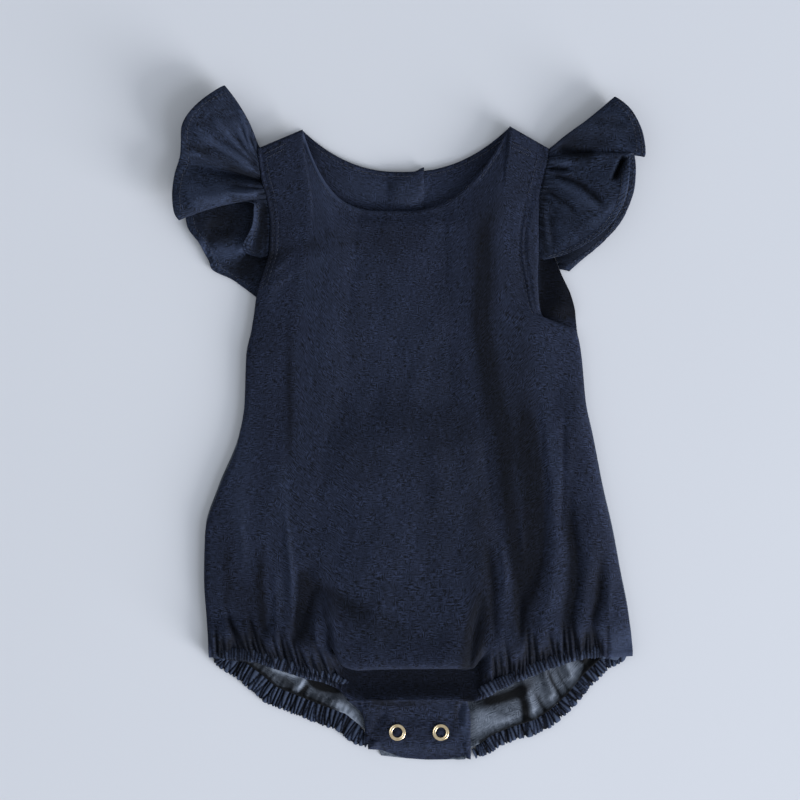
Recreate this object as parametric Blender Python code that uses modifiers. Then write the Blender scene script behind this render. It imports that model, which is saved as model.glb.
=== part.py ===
"""A baby's denim bubble bodysuit, laid flat on its back with the front up.

Lengths are in millimetres up to the mesh, which is in metres. X runs across the garment, +Y towards
the neck and +Z up. The surface that it lies on is z = 0. Every cloth piece is a thin wall.
"""

import math
from collections import namedtuple

import bmesh
import bpy
from mathutils import Vector

MM = 0.001

# Driving dimensions.
WALL = 1.0  # thickness of the denim
GAP = 0.3  # clearance between neighbouring pieces
BUBBLE_TURN = 27.0  # length over which the gathered front rises from its leg edge
CASING_WIDTH = 8.0
CASING_THICK = 3.0
OPENING_FOOT = 60.0  # y at which the overlapped back opening ends
OVERLAP_HALF = 9.0  # half the width of the overlap
OVERLAP_SLOPE = 4.0  # length over which the upper half steps up onto the lower one
OVERLAP_SPARE = 0.7  # how far short of the lower half's edge that step is complete
SEAM_HALF = 0.15  # half the clearance at the centre-back seam
BUTTON_RADIUS = 5.5
BUTTON_THICK = 1.6
BUTTON_CENTRES = {"button_upper": (0.0, 140.0), "button_lower": (0.0, 92.0)}
BUTTON_FLAT = 7.5  # half the width of the cloth's flat over a button
BUTTON_SLOPE = 6.2  # length over which the cloth comes down from a button
SNAP_RING = 4.0  # radius to the middle of the ring's wire
SNAP_WIRE = 1.0
SNAP_FLATTEN = 0.6
SNAP_STUD_RADIUS = 4.0
SNAP_STUD_THICK = 1.1
SNAP_CENTRES = {"left": (-7.0, -184.0), "right": (19.0, -184.0)}
TAB_RISE = 4.1  # underside of the front tab over the surface

# One row for each level of the body: the front's left and right edges, the back's right edge, the
# height of the front's edges and of its middle, all measured to the underside.
Level = namedtuple("Level", "y left right back_right rise_left rise_right crown")
BODY = (
    Level(165, -90.5, 83.5, 83.5, 1.4, 1.4, 1.6),
    Level(150, -88.8, 81.0, 82.0, 4.6, 4.6, 4.6),
    Level(135, -85.0, 78.0, 81.5, 5.6, 5.6, 6.0),
    Level(120, -83.0, 77.5, 83.0, 5.8, 5.8, 6.7),
    Level(105, -83.5, 77.5, 86.0, 5.8, 5.8, 7.2),
    Level(92, -85.8, 77.0, 90.5, 4.6, 5.6, 7.4),
    Level(78, -90.0, 77.5, 97.0, 1.8, 5.2, 7.6),
    Level(67, -92.3, 81.0, 99.7, 1.3, 4.2, 7.6),
    Level(62, -93.4, 91.0, 100.2, 1.3, 2.2, 7.6),
    Level(58, -94.4, 100.5, 100.6, 1.3, 1.3, 7.6),
    Level(45, -97.3, 103.0, 103.0, 1.3, 1.3, 7.6),
    Level(15, -98.5, 106.0, 106.0, 1.3, 1.3, 7.8),
    Level(-5, -102.0, 110.3, 110.3, 1.3, 1.3, 8.4),
    Level(-35, -114.2, 116.2, 116.2, 1.3, 1.3, 10.0),
    Level(-60, -122.0, 122.0, 122.0, 1.3, 1.3, 11.8),
    Level(-85, -122.6, 126.7, 126.7, 1.3, 1.3, 13.2),
    Level(-110, -121.0, 131.5, 131.5, 1.5, 1.5, 14.2),
    Level(-132, -119.8, 133.8, 133.8, 4.6, 4.6, 14.2),
)

# The front's gathered lower edge from side to side: its height, and how far it lies low before the
# bubble rises, which is long over the crotch where the cloth tucks under.
Hem = namedtuple("Hem", "x y rise tuck")
FRONT_HEM = (
    Hem(-119.8, -131.6, 4.6, 0),
    Hem(-95.0, -132.3, 6.4, 0),
    Hem(-80.0, -136.6, 7.4, 0),
    Hem(-62.0, -142.0, 7.2, 0),
    Hem(-46.0, -145.8, 6.6, 1),
    Hem(-35.0, -154.0, 5.8, 6),
    Hem(-24.0, -163.0, 5.2, 12),
    Hem(-16.0, -165.0, 5.0, 15),
    Hem(30.0, -165.0, 5.0, 15),
    Hem(39.0, -161.0, 5.2, 10),
    Hem(50.0, -155.0, 6.0, 3),
    Hem(64.0, -148.5, 7.0, 0),
    Hem(84.0, -137.0, 7.6, 0),
    Hem(104.0, -130.5, 6.6, 0),
    Hem(133.8, -130.4, 4.6, 0),
)

# The largest folds of the front, as soft ridges (height over 0) and troughs.
Fold = namedtuple("Fold", "x0 y0 x1 y1 width height")
FRONT_FOLDS = (
    Fold(-74, 45, -76, -40, 8, 1.2),
    Fold(-76, -40, -70, -125, 9, 1.6),
    Fold(-58, -90, -57, -125, 11, -2.2),
    Fold(57, 110, 60, -45, 15, -1.4),
    Fold(76, 80, 79, -30, 7, 1.4),
    Fold(62, -70, 67, -130, 8, -2.4),
    Fold(88, -55, 88, -125, 12, 1.6),
    Fold(101, -64, 96, -125, 7, -2.0),
    Fold(110, -80, 104, -128, 7, 1.4),
    Fold(-104, -85, -98, -122, 8, -1.6),
    Fold(10, -20, 30, -100, 34, -1.0),
)

# Neckline: the front's scoop is a power curve on each side of its lowest point.
Scoop = namedtuple("Scoop", "x y power")
NECK_LOW_X, NECK_LOW_Y = -5.0, 127.5
NECK_LEFT = Scoop(-63.5, 176.0, 3.9)
NECK_RIGHT = Scoop(60.0, 178.0, 2.5)
BACK_NECK_LOW_X, BACK_NECK_LOW_Y = -4.0, 151.3
BACK_NECK_POWER = 2.3

# Lowest stretch of the back, where the cloth turns up at the crotch, on each side of the middle seam.
Point = namedtuple("Point", "x y")
BACK_CROTCH_LEFT = (Point(-19.5, -190.5), Point(-17.5, -199.0), Point(-0.15, -200.3))
BACK_CROTCH_RIGHT = (Point(0.15, -200.3), Point(33.5, -200.8), Point(35.5, -196.5))
BACK_CORNER_LEFT = Point(-119.6, -133.6)
BACK_CORNER_RIGHT = Point(133.6, -132.2)

# Middle line of each leg casing: along the front's edge from the crotch to the side, where the band
# folds under, and back along the back's edge, lying on the surface.
Stop = namedtuple("Stop", "x y z")
CASING_LEFT = (
    Stop(-29.0, -167.0, 6.0), Stop(-36.5, -159.3, 6.6), Stop(-45.0, -152.4, 7.3),
    Stop(-62.0, -148.2, 8.0), Stop(-78.0, -143.2, 8.2), Stop(-91.0, -138.4, 7.6),
    Stop(-105.0, -136.8, 6.4), Stop(-115.0, -137.0, 5.4), Stop(-118.3, -138.2, 3.45),
    Stop(-115.0, -139.6, 1.5), Stop(-105.0, -146.0, 1.5), Stop(-93.0, -155.2, 1.5),
    Stop(-83.0, -163.5, 1.5), Stop(-68.0, -169.6, 1.5), Stop(-54.0, -175.2, 1.5),
    Stop(-41.5, -179.6, 1.5), Stop(-33.0, -186.6, 1.5), Stop(-25.5, -191.8, 1.5),
)
CASING_RIGHT = (
    Stop(42.5, -166.3, 6.0), Stop(51.5, -160.4, 6.8), Stop(65.0, -154.0, 7.6),
    Stop(84.0, -143.0, 8.3), Stop(95.0, -138.0, 7.8), Stop(106.0, -135.8, 6.8),
    Stop(119.0, -135.6, 5.8), Stop(128.5, -135.6, 5.4), Stop(132.3, -136.6, 3.45),
    Stop(128.5, -137.8, 1.5), Stop(117.5, -143.0, 1.5), Stop(107.5, -152.6, 1.5),
    Stop(98.5, -163.6, 1.5), Stop(87.5, -174.0, 1.5), Stop(77.0, -180.8, 1.5),
    Stop(62.0, -185.0, 1.5), Stop(52.0, -189.6, 1.5), Stop(46.0, -194.6, 1.5),
    Stop(40.0, -198.3, 1.5),
)

# Crotch tabs: the front one laps over the back one, which is turned up onto the back panel.
Flap = namedtuple("Flap", "y left right rise")
FRONT_TAB = (
    Flap(-190.0, -26.0, 36.0, TAB_RISE), Flap(-184.0, -26.0, 36.3, TAB_RISE),
    Flap(-177.5, -26.0, 36.6, TAB_RISE), Flap(-172.0, -20.5, 34.6, 4.6),
    Flap(-165.8, -15.5, 29.5, 5.0),
)
BACK_TAB = (
    Flap(-199.0, -16.0, 31.5, WALL + GAP), Flap(-188.0, -17.5, 32.5, WALL + GAP),
    Flap(-168.0, -17.5, 32.5, WALL + GAP),
)

# Spokes of each flutter sleeve, from the front's underarm over the shoulder to the back's: the place
# of the root on the armhole, its height, and the hem's point. The back half lies on the surface.
Spoke = namedtuple("Spoke", "root_y root_z x y z")
SLEEVE_LEFT = (
    Spoke(102, 6.0, -89.0, 99.0, 6.2), Spoke(110, 6.2, -103.0, 101.0, 7.0),
    Spoke(118, 6.4, -117.0, 117.0, 8.0), Spoke(126, 6.6, -128.0, 124.0, 10.0),
    Spoke(133, 6.8, -136.5, 122.5, 14.5), Spoke(139, 7.0, -140.5, 133.0, 17.5),
    Spoke(144, 6.6, -138.5, 151.0, 11.0), Spoke(150, 7.2, -136.0, 164.0, 15.0),
    Spoke(155, 7.2, -134.0, 181.0, 17.0), Spoke(159, 7.0, -123.5, 192.5, 15.0),
    Spoke(163, 5.4, -110.5, 201.5, 11.0), Spoke(163, 2.0, -116.0, 193.0, 5.0),
    Spoke(158, 0.5, -127.0, 175.0, 0.5), Spoke(146, 0.5, -133.0, 155.0, 0.5),
    Spoke(134, 0.5, -132.5, 136.0, 0.5), Spoke(122, 0.5, -130.0, 119.0, 0.5),
    Spoke(108, 0.5, -120.5, 101.0, 0.5), Spoke(96, 0.5, -106.5, 87.5, 0.5),
    Spoke(84, 0.5, -91.5, 78.5, 0.5),
)
SLEEVE_RIGHT = (
    Spoke(103, 6.0, 81.0, 98.5, 6.2), Spoke(112, 6.2, 93.0, 100.5, 7.2),
    Spoke(121, 6.4, 107.0, 106.0, 9.0), Spoke(129, 6.6, 119.0, 114.5, 11.5),
    Spoke(136, 6.8, 127.5, 128.0, 13.5), Spoke(143, 7.0, 131.0, 144.0, 14.5),
    Spoke(150, 7.0, 131.0, 157.0, 12.5), Spoke(156, 6.6, 138.5, 160.0, 9.0),
    Spoke(160, 6.2, 140.0, 171.0, 10.5), Spoke(162, 5.6, 135.0, 185.0, 11.5),
    Spoke(164, 4.6, 123.5, 195.5, 9.5), Spoke(163, 1.8, 124.0, 187.0, 4.0),
    Spoke(157, 0.5, 129.0, 174.0, 0.5), Spoke(146, 0.5, 135.0, 157.0, 0.5),
    Spoke(134, 0.5, 135.5, 141.0, 0.5), Spoke(122, 0.5, 131.0, 127.0, 0.5),
    Spoke(112, 0.5, 121.0, 113.0, 0.5), Spoke(101, 0.5, 108.0, 101.5, 0.5),
    Spoke(93, 0.5, 95.5, 91.0, 0.5),
)
SLEEVE_ROOT_GAP = 0.6
SLEEVE_ARCH = 1.2  # how far the ruffle bows up between root and hem

# Finishes: base colour (linear), roughness, metallic.
FINISHES = {
    "denim": ((0.014, 0.019, 0.034), 0.9, 0.0),
    "denim_casing": ((0.012, 0.016, 0.030), 0.9, 0.0),
    "denim_ruffle": ((0.016, 0.022, 0.038), 0.9, 0.0),
    "gold_plate": ((0.62, 0.47, 0.27), 0.3, 1.0),
    "button_resin": ((0.018, 0.022, 0.035), 0.4, 0.0),
}


def mix(low, high, share):
    return low + (high - low) * share


def clamp(value, low=0.0, high=1.0):
    return max(low, min(high, value))


def ease(share):
    share = clamp(share)
    return share * share * (3 - 2 * share)


def slope_at(keys, values, i):
    """Slope at a row: nothing at a peak or an end, and never more than its flatter side allows."""
    if i in (0, len(keys) - 1):
        return 0.0
    before = (values[i] - values[i - 1]) / (keys[i] - keys[i - 1])
    after = (values[i + 1] - values[i]) / (keys[i + 1] - keys[i])
    return 2 * before * after / (before + after) if before * after > 0 else 0.0


def read_table(rows, key, column, value):
    """A column's value at a key between two rows, on a smooth curve that never overshoots them."""
    rows = sorted(rows, key=lambda row: getattr(row, key))
    keys = [getattr(row, key) for row in rows]
    values = [getattr(row, column) for row in rows]
    i = sum(value > k for k in keys[1:-1])
    span = keys[i + 1] - keys[i]
    t = clamp((value - keys[i]) / span)
    curve = values[i] * (2 * t**3 - 3 * t**2 + 1) + values[i + 1] * (3 * t**2 - 2 * t**3)
    curve += slope_at(keys, values, i) * span * (t**3 - 2 * t**2 + t)
    return curve + slope_at(keys, values, i + 1) * span * (t**3 - t**2)


def through_points(points, steps):
    """Points of a smooth curve through the given ones, with the given steps in each span."""
    curve = []
    for i in range(len(points) - 1):
        p = [points[clamp(j, 0, len(points) - 1)] for j in (i - 1, i, i + 1, i + 2)]
        for step in range(steps):
            t = step / steps
            weights = (2 * t**2 - t - t**3, 2 - 5 * t**2 + 3 * t**3, t + 4 * t**2 - 3 * t**3, t**3 - t**2)
            curve.append([sum(w * value for w, value in zip(weights, values)) / 2 for values in zip(*p)])
    curve.append(list(points[-1]))
    return curve


def along(points, x):
    """Height of a line of points over x, straight between them."""
    for a, b in zip(points, points[1:]):
        if x <= b.x:
            return mix(a.y, b.y, clamp((x - a.x) / (b.x - a.x)))
    return points[-1].y


def casing_edge(stops):
    """Where the back's cloth meets the part of a leg casing that lies on the surface."""
    flat = [stop for stop in stops if stop.z <= CASING_THICK / 2]
    edge = []
    for i, stop in enumerate(flat):
        before, after = flat[max(i - 1, 0)], flat[min(i + 1, len(flat) - 1)]
        run_x, run_y = after.x - before.x, after.y - before.y
        scale = (CASING_WIDTH / 2 + 5 * GAP) / math.hypot(run_x, run_y)
        scale *= math.copysign(1, run_x)
        edge.append(Point(stop.x - run_y * scale, stop.y + run_x * scale))
    return tuple(sorted(edge))


def neckline(x, low_x, low_y, left, right):
    side = left if x < low_x else right
    share = abs((x - low_x) / (side.x - low_x))
    return low_y + (side.y - low_y) * min(share, 1.0) ** side.power


def shoulder(x):
    """Top edge outside the neck, falling from the neck's corners to the armholes."""
    neck = NECK_LEFT if x < NECK_LEFT.x else NECK_RIGHT
    arm = BODY[0].left if x < NECK_LEFT.x else BODY[0].right
    return mix(BODY[0].y, neck.y, clamp((x - arm) / (neck.x - arm)))


def front_top(x):
    if NECK_LEFT.x < x < NECK_RIGHT.x:
        return neckline(x, NECK_LOW_X, NECK_LOW_Y, NECK_LEFT, NECK_RIGHT)
    return shoulder(x)


def back_top(x):
    if NECK_LEFT.x < x < NECK_RIGHT.x:
        left = NECK_LEFT._replace(power=BACK_NECK_POWER)
        right = NECK_RIGHT._replace(power=BACK_NECK_POWER)
        return neckline(x, BACK_NECK_LOW_X, BACK_NECK_LOW_Y, left, right)
    return shoulder(x)


def fold_height(x, y):
    total = 0.0
    for fold in FRONT_FOLDS:
        run_x, run_y = fold.x1 - fold.x0, fold.y1 - fold.y0
        length = math.hypot(run_x, run_y)
        t = ((x - fold.x0) * run_x + (y - fold.y0) * run_y) / length**2
        off = abs((x - fold.x0) * run_y - (y - fold.y0) * run_x) / length
        taper = ease((t + 0.15) / 0.4) * ease((1.15 - t) / 0.4)
        total += fold.height * taper * math.exp(-((off / fold.width) ** 2))
    return total


def front_rise(x, y, share, above_hem, hem_x):
    """Underside of the front: its two edges, its crown, the bubble's roll over the leg edge, its folds."""
    edge = mix(
        read_table(BODY, "y", "rise_left", y), read_table(BODY, "y", "rise_right", y), share
    )
    across = (1 - abs(2 * share - 1) ** 3.0) ** 0.8
    body = edge + (read_table(BODY, "y", "crown", y) - edge) * across
    tuck = read_table(FRONT_HEM, "x", "tuck", hem_x)
    hem = read_table(FRONT_HEM, "x", "rise", hem_x)
    roll = math.sin(math.pi / 2 * clamp((above_hem - tuck) / BUBBLE_TURN))
    return mix(hem, body + fold_height(x, y) * across, roll)


def button_lift(x, y):
    """How far the two layers of the opening ride up over the buttons beneath them."""
    lift = 0.0
    for centre_x, centre_y in BUTTON_CENTRES.values():
        off = max(abs(x - centre_x), abs(y - centre_y))
        lift = max(lift, 1 - clamp((off - BUTTON_FLAT) / BUTTON_SLOPE))
    return lift * (BUTTON_THICK + GAP)


def overlap_lift(x, y):
    """The left half steps up onto the right one along the opening."""
    step = clamp((x + OVERLAP_HALF + OVERLAP_SPARE + OVERLAP_SLOPE) / OVERLAP_SLOPE)
    foot = clamp((y - OPENING_FOOT + OVERLAP_SPARE + OVERLAP_SLOPE) / OVERLAP_SLOPE)
    return step * foot * (WALL + GAP)


def material(name):
    found = bpy.data.materials.get(name)
    if found:
        return found
    made = bpy.data.materials.new(name)
    made.use_nodes = True
    colour, roughness, metallic = FINISHES[name]
    shader = made.node_tree.nodes["Principled BSDF"]
    shader.inputs["Base Color"].default_value = (*colour, 1.0)
    shader.inputs["Roughness"].default_value = roughness
    shader.inputs["Metallic"].default_value = metallic
    made.diffuse_color = (*colour, 1.0)
    return made


def add_object(name, mesh_shape, collection, finish):
    """An object of a bmesh whose lengths are in millimetres."""
    bmesh.ops.scale(mesh_shape, vec=(MM, MM, MM), verts=mesh_shape.verts)
    bmesh.ops.recalc_face_normals(mesh_shape, faces=mesh_shape.faces)
    mesh = bpy.data.meshes.new(name)
    mesh_shape.to_mesh(mesh)
    mesh_shape.free()
    made = bpy.data.objects.new(name, mesh)
    collection.objects.link(made)
    mesh.materials.append(material(finish))
    mesh.shade_smooth()
    mesh.set_sharp_from_angle(angle=math.radians(40))
    return made


def sheet(name, rows, collection, finish, offset=1.0):
    """A wall of cloth over rows of points. An offset of 1 puts its thickness over the points, 0 both ways."""
    shape = bmesh.new()
    grid = [[shape.verts.new(point) for point in row] for row in rows]
    for row, following in zip(grid, grid[1:]):
        for i in range(len(row) - 1):
            shape.faces.new((row[i], row[i + 1], following[i + 1], following[i]))
    made = add_object(name, shape, collection, finish)
    if sum(face.normal.z * face.area for face in made.data.polygons) < 0 and offset:
        made.data.flip_normals()
    wall = made.modifiers.new("Wall", "SOLIDIFY")
    wall.thickness = WALL * MM
    wall.offset = offset
    wall.use_even_offset = False
    return made


def front_panel(collection):
    top_x = (
        -90.5, -83, -74, -63.5, -60.5, -55, -48, -39, -29, -19, -9, 1, 11, 20, 28, 36, 43, 50, 56,
        60, 68, 76, 83.5,
    )
    levels = (
        -132, -129, -125, -120, -114, -107, -98, -88, -77, -65, -53, -41, -28, -15, -2, 11, 24, 37,
        48, 56, 60, 63.5, 68, 77, 89, 101, 113, 125, 137, 149, 157, 165,
    )
    low, high = levels[0], levels[-1]
    rows = []
    for level in levels:
        v = (level - low) / (high - low)
        left = read_table(BODY, "y", "left", level)
        right = read_table(BODY, "y", "right", level)
        row = []
        for x_top in top_x:
            u = (x_top - top_x[0]) / (top_x[-1] - top_x[0])
            hem_x = mix(BODY[-1].left, BODY[-1].right, u)
            hem_y = read_table(FRONT_HEM, "x", "y", hem_x)
            x, y = mix(left, right, u), mix(hem_y, front_top(x_top), v)
            row.append((x, y, front_rise(x, y, u, y - hem_y, hem_x)))
        rows.append(row)
    return sheet("front_panel", rows, collection, "denim")


def back_half(name, sign, side_column, hem, lift, collection):
    """Half of the back. Above the opening's foot it passes the middle, and below it ends at the seam."""
    outer_shares = (0, 0.06, 0.18, 0.34, 0.5, 0.66, 0.8, 0.91)
    step_top = OVERLAP_HALF + OVERLAP_SPARE
    step_foot = step_top + OVERLAP_SLOPE
    inner_above = (step_foot, step_top, BUTTON_FLAT, -BUTTON_FLAT, -OVERLAP_HALF)
    inner_below = (step_foot, step_top, BUTTON_FLAT, BUTTON_FLAT / 2, SEAM_HALF)
    middle_levels = (
        -200.3, -194, -186, -176, -163, -148, -130, -110, -90, -70, -50, -30, -10, 15, 38, 55.3,
        59.3, 60, 70, 78.3, 84.5, 99.5, 105.7, 116, 126.3, 132.5, 147.5, 151.3,
    )
    low, high = middle_levels[0], middle_levels[-1]
    rows = []
    for level in middle_levels:
        v = (level - low) / (high - low)
        side = read_table(BODY, "y", side_column, mix(BODY[-1].y, BODY[0].y, v))
        side_top = getattr(BODY[0], side_column)
        side_low = hem[0].x if sign < 0 else hem[-1].x
        inner = inner_above if level >= OPENING_FOOT else inner_below
        # Each column: its x on this row, and where it meets the neck and the leg edge.
        columns = [
            [mix(edge, sign * inner[0], share) for edge in (side, side_top, side_low)]
            for share in outer_shares
        ]
        columns += [(sign * x, sign * x, sign * max(x, SEAM_HALF)) for x in inner]
        row = []
        for x, x_top, x_low in columns:
            y = mix(along(hem, x_low), back_top(x_top), v)
            row.append((x, y, lift(x, y)))
        rows.append(row)
    return sheet(name, rows, collection, "denim")


def sleeve(name, spokes, front_column, back_column, outward, collection):
    """A gathered strip: spokes from the armhole to the hem, smooth from one to the next."""
    ends = []
    for spoke in spokes:
        column = front_column if spoke.root_z > 1 else back_column
        root_x = read_table(BODY, "y", column, spoke.root_y) + outward * SLEEVE_ROOT_GAP
        ends.append((root_x, spoke.root_y, spoke.root_z, spoke.x, spoke.y, spoke.z))
    rows = []
    for root_x, root_y, root_z, x, y, z in through_points(ends, 2):
        root_z, z = max(root_z, WALL / 2), max(z, WALL / 2)
        arch = SLEEVE_ARCH * clamp(z - WALL / 2)
        rows.append([
            (mix(root_x, x, r), mix(root_y, y, r), mix(root_z, z, r) + arch * 4 * r * (1 - r))
            for r in (0, 0.2, 0.45, 0.72, 1)
        ])
    return sheet(name, rows, collection, "denim_ruffle", offset=0.0)


def leg_casing(name, stops, collection):
    """A flat band round the leg, lofted along its middle line, which folds under at the side."""
    line = [(x, y, max(z, CASING_THICK / 2)) for x, y, z in through_points(stops, 2)]
    centres = [Vector(point) for point in line]
    outline = [
        (-0.5, -0.25), (-0.34, -0.5), (0.34, -0.5), (0.5, -0.25), (0.5, 0.25), (0.34, 0.5),
        (-0.34, 0.5), (-0.5, 0.25),
    ]
    shape = bmesh.new()
    rings = []
    wide = None
    for i, centre in enumerate(centres):
        ahead = (centres[min(i + 1, len(centres) - 1)] - centres[max(i - 1, 0)]).normalized()
        level = Vector((0, 0, 1)).cross(ahead)
        if wide is None:
            wide = level.normalized()
        elif level.length > 0.5:
            wide = level.normalized() * math.copysign(1, level.dot(wide))
        else:
            wide = (wide - ahead * wide.dot(ahead)).normalized()
        thick = ahead.cross(wide)
        rings.append([
            shape.verts.new(centre + wide * (a * CASING_WIDTH) + thick * (b * CASING_THICK))
            for a, b in outline
        ])
    for ring, following in zip(rings, rings[1:]):
        for i in range(len(outline)):
            j = (i + 1) % len(outline)
            shape.faces.new((ring[i], ring[j], following[j], following[i]))
    shape.faces.new(rings[0])
    shape.faces.new(rings[-1])
    return add_object(name, shape, collection, "denim_casing")


def tab(name, rows, collection, finish):
    """A short flap: each row gives its level, its two side edges and its height."""
    shares = (0, 0.25, 0.5, 0.75, 1)
    points = [[(mix(r.left, r.right, s), r.y, r.rise) for s in shares] for r in rows]
    return sheet(name, points, collection, finish)


def disc(name, x, y, low, radius, thick, collection, finish):
    shape = bmesh.new()
    bmesh.ops.create_cone(
        shape, cap_ends=True, segments=24, radius1=radius, radius2=radius, depth=thick
    )
    bmesh.ops.translate(shape, vec=(x, y, low + thick / 2), verts=shape.verts)
    rims = [edge for edge in shape.edges if len({len(face.verts) for face in edge.link_faces}) > 1]
    bmesh.ops.bevel(shape, geom=rims, offset=thick / 5, segments=1, affect="EDGES")
    return add_object(name, shape, collection, finish)


def snap_ring(name, x, y, collection):
    """The ring of a snap's cap. The denim shows through it."""
    bpy.ops.mesh.primitive_torus_add(
        major_radius=SNAP_RING * MM, minor_radius=SNAP_WIRE * MM, major_segments=24, minor_segments=8
    )
    made = bpy.context.object
    made.name = made.data.name = name
    height = TAB_RISE + WALL + GAP + SNAP_WIRE * SNAP_FLATTEN
    for vertex in made.data.vertices:
        vertex.co.z *= SNAP_FLATTEN
        vertex.co += Vector((x, y, height)) * MM
    for holder in list(made.users_collection):
        holder.objects.unlink(made)
    collection.objects.link(made)
    made.data.materials.append(material("gold_plate"))
    made.data.shade_smooth()
    return made


def main():
    for old in list(bpy.data.objects):
        bpy.data.objects.remove(old, do_unlink=True)
    garment = bpy.data.collections.new("denim_bodysuit")
    bpy.context.scene.collection.children.link(garment)

    front_panel(garment)
    back_half(
        "back_panel_left", -1, "left",
        (BACK_CORNER_LEFT, *casing_edge(CASING_LEFT), *BACK_CROTCH_LEFT),
        lambda x, y: overlap_lift(x, y) + button_lift(x, y), garment,
    )
    back_half(
        "back_panel_right", 1, "back_right",
        (*BACK_CROTCH_RIGHT, *casing_edge(CASING_RIGHT), BACK_CORNER_RIGHT), button_lift, garment,
    )
    sleeve("sleeve_left", SLEEVE_LEFT, "left", "left", -1, garment)
    sleeve("sleeve_right", SLEEVE_RIGHT, "right", "back_right", 1, garment)
    leg_casing("leg_casing_left", CASING_LEFT, garment)
    leg_casing("leg_casing_right", CASING_RIGHT, garment)
    tab("crotch_tab_front", FRONT_TAB, garment, "denim")
    tab("crotch_tab_back", BACK_TAB, garment, "denim")
    for side, (x, y) in SNAP_CENTRES.items():
        snap_ring("snap_cap_" + side, x, y, garment)
        low = BACK_TAB[0].rise + WALL + GAP
        disc("snap_stud_" + side, x, y, low, SNAP_STUD_RADIUS, SNAP_STUD_THICK, garment, "gold_plate")
    for name, (x, y) in BUTTON_CENTRES.items():
        disc(name, x, y, 0, BUTTON_RADIUS, BUTTON_THICK, garment, "button_resin")


main()
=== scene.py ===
import math

import bpy
import numpy as np
from mathutils import Matrix, Vector


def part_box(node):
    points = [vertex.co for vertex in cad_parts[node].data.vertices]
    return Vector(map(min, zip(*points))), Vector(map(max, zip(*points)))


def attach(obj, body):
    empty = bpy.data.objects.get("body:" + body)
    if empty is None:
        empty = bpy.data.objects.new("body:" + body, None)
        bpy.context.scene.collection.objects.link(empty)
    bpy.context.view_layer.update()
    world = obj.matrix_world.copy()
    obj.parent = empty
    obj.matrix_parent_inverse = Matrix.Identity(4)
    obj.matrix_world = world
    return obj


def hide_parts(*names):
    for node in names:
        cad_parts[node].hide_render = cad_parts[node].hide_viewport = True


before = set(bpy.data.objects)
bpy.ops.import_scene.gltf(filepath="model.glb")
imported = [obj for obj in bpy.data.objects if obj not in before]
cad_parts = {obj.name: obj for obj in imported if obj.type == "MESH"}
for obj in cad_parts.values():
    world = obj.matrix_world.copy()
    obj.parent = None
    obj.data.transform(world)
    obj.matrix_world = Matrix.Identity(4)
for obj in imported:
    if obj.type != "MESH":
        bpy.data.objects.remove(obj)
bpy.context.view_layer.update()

mm = 0.001  # the tables are in millimetres, the meshes in metres


def mix(low, high, share):
    return low + (high - low) * share


def ease(share):
    share = np.clip(share, 0.0, 1.0)
    return share * share * (3 - 2 * share)


def ramp(value, start, width):
    # a smooth climb from nothing at start to one that much further on
    return ease((value - start) / width)


def bump(offset, width):
    return np.exp(-((offset / width) ** 2))


def readTable(rows, column, at):
    # a smooth value between rows that are keyed by their first number, never past its neighbours
    rows = np.array(sorted(rows), float)
    keys, values = rows[:, 0], rows[:, column]
    gaps = np.diff(keys)
    steps = np.diff(values) / gaps
    before, after = steps[:-1], steps[1:]
    sameWay = before * after > 0
    slopes = np.zeros(len(keys))
    slopes[1:-1] = np.where(sameWay, 2 * before * after / np.where(sameWay, before + after, 1), 0)
    i = np.searchsorted(keys[1:-1], at)
    t = np.clip((at - keys[i]) / gaps[i], 0, 1)
    curve = values[i] * (2 * t**3 - 3 * t**2 + 1) + values[i + 1] * (3 * t**2 - 2 * t**3)
    curve += slopes[i] * gaps[i] * (t**3 - 2 * t**2 + t)
    return curve + slopes[i + 1] * gaps[i] * (t**3 - t**2)


def throughPoints(points, steps):
    # a smooth curve through the points, with that many steps in each span
    points = np.array(points, float)
    last = len(points) - 1
    t = (np.arange(steps) / steps)[:, None]
    weights = (2 * t**2 - t - t**3, 2 - 5 * t**2 + 3 * t**3, t + 4 * t**2 - 3 * t**3, t**3 - t**2)
    spans = []
    for i in range(last):
        near = [points[min(max(j, 0), last)] for j in (i - 1, i, i + 1, i + 2)]
        spans.append(sum(w * p for w, p in zip(weights, near)) / 2)
    return np.vstack([*spans, points[-1:]])


def lengthsAlong(line):
    return np.concatenate([[0], np.cumsum(np.linalg.norm(np.diff(line, axis=0), axis=1))])


def softNoise(x, y, size, seed, waves=12, spread=3.4):
    # slow random swells, about size from crest to crest; spread brings their sum to about one
    rng = np.random.default_rng(seed)
    total = np.zeros(np.shape(x))
    for _ in range(waves):
        turn, shift = rng.uniform(0, 2 * math.pi, 2)
        wave = 2 * math.pi / (size * rng.uniform(0.7, 1.7))
        total += np.sin((x * math.cos(turn) + y * math.sin(turn)) * wave + shift)
    return total / spread


def nearestOn(path, x, y):
    # how far each point is from a line, which side of it (left hand above nothing), and how far along
    nearest = np.full(np.shape(x), 1e9)
    side, share = np.zeros(np.shape(x)), np.zeros(np.shape(x))
    for i, (start, end) in enumerate(zip(path, path[1:])):
        runX, runY = end - start
        t = np.clip(((x - start[0]) * runX + (y - start[1]) * runY) / (runX**2 + runY**2), 0, 1)
        offX, offY = x - start[0] - t * runX, y - start[1] - t * runY
        off = np.hypot(offX, offY)
        closer = off < nearest
        nearest = np.where(closer, off, nearest)
        side = np.where(closer, runX * offY - runY * offX, side)
        share = np.where(closer, (i + t) / (len(path) - 1), share)
    return nearest, side, share


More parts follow.
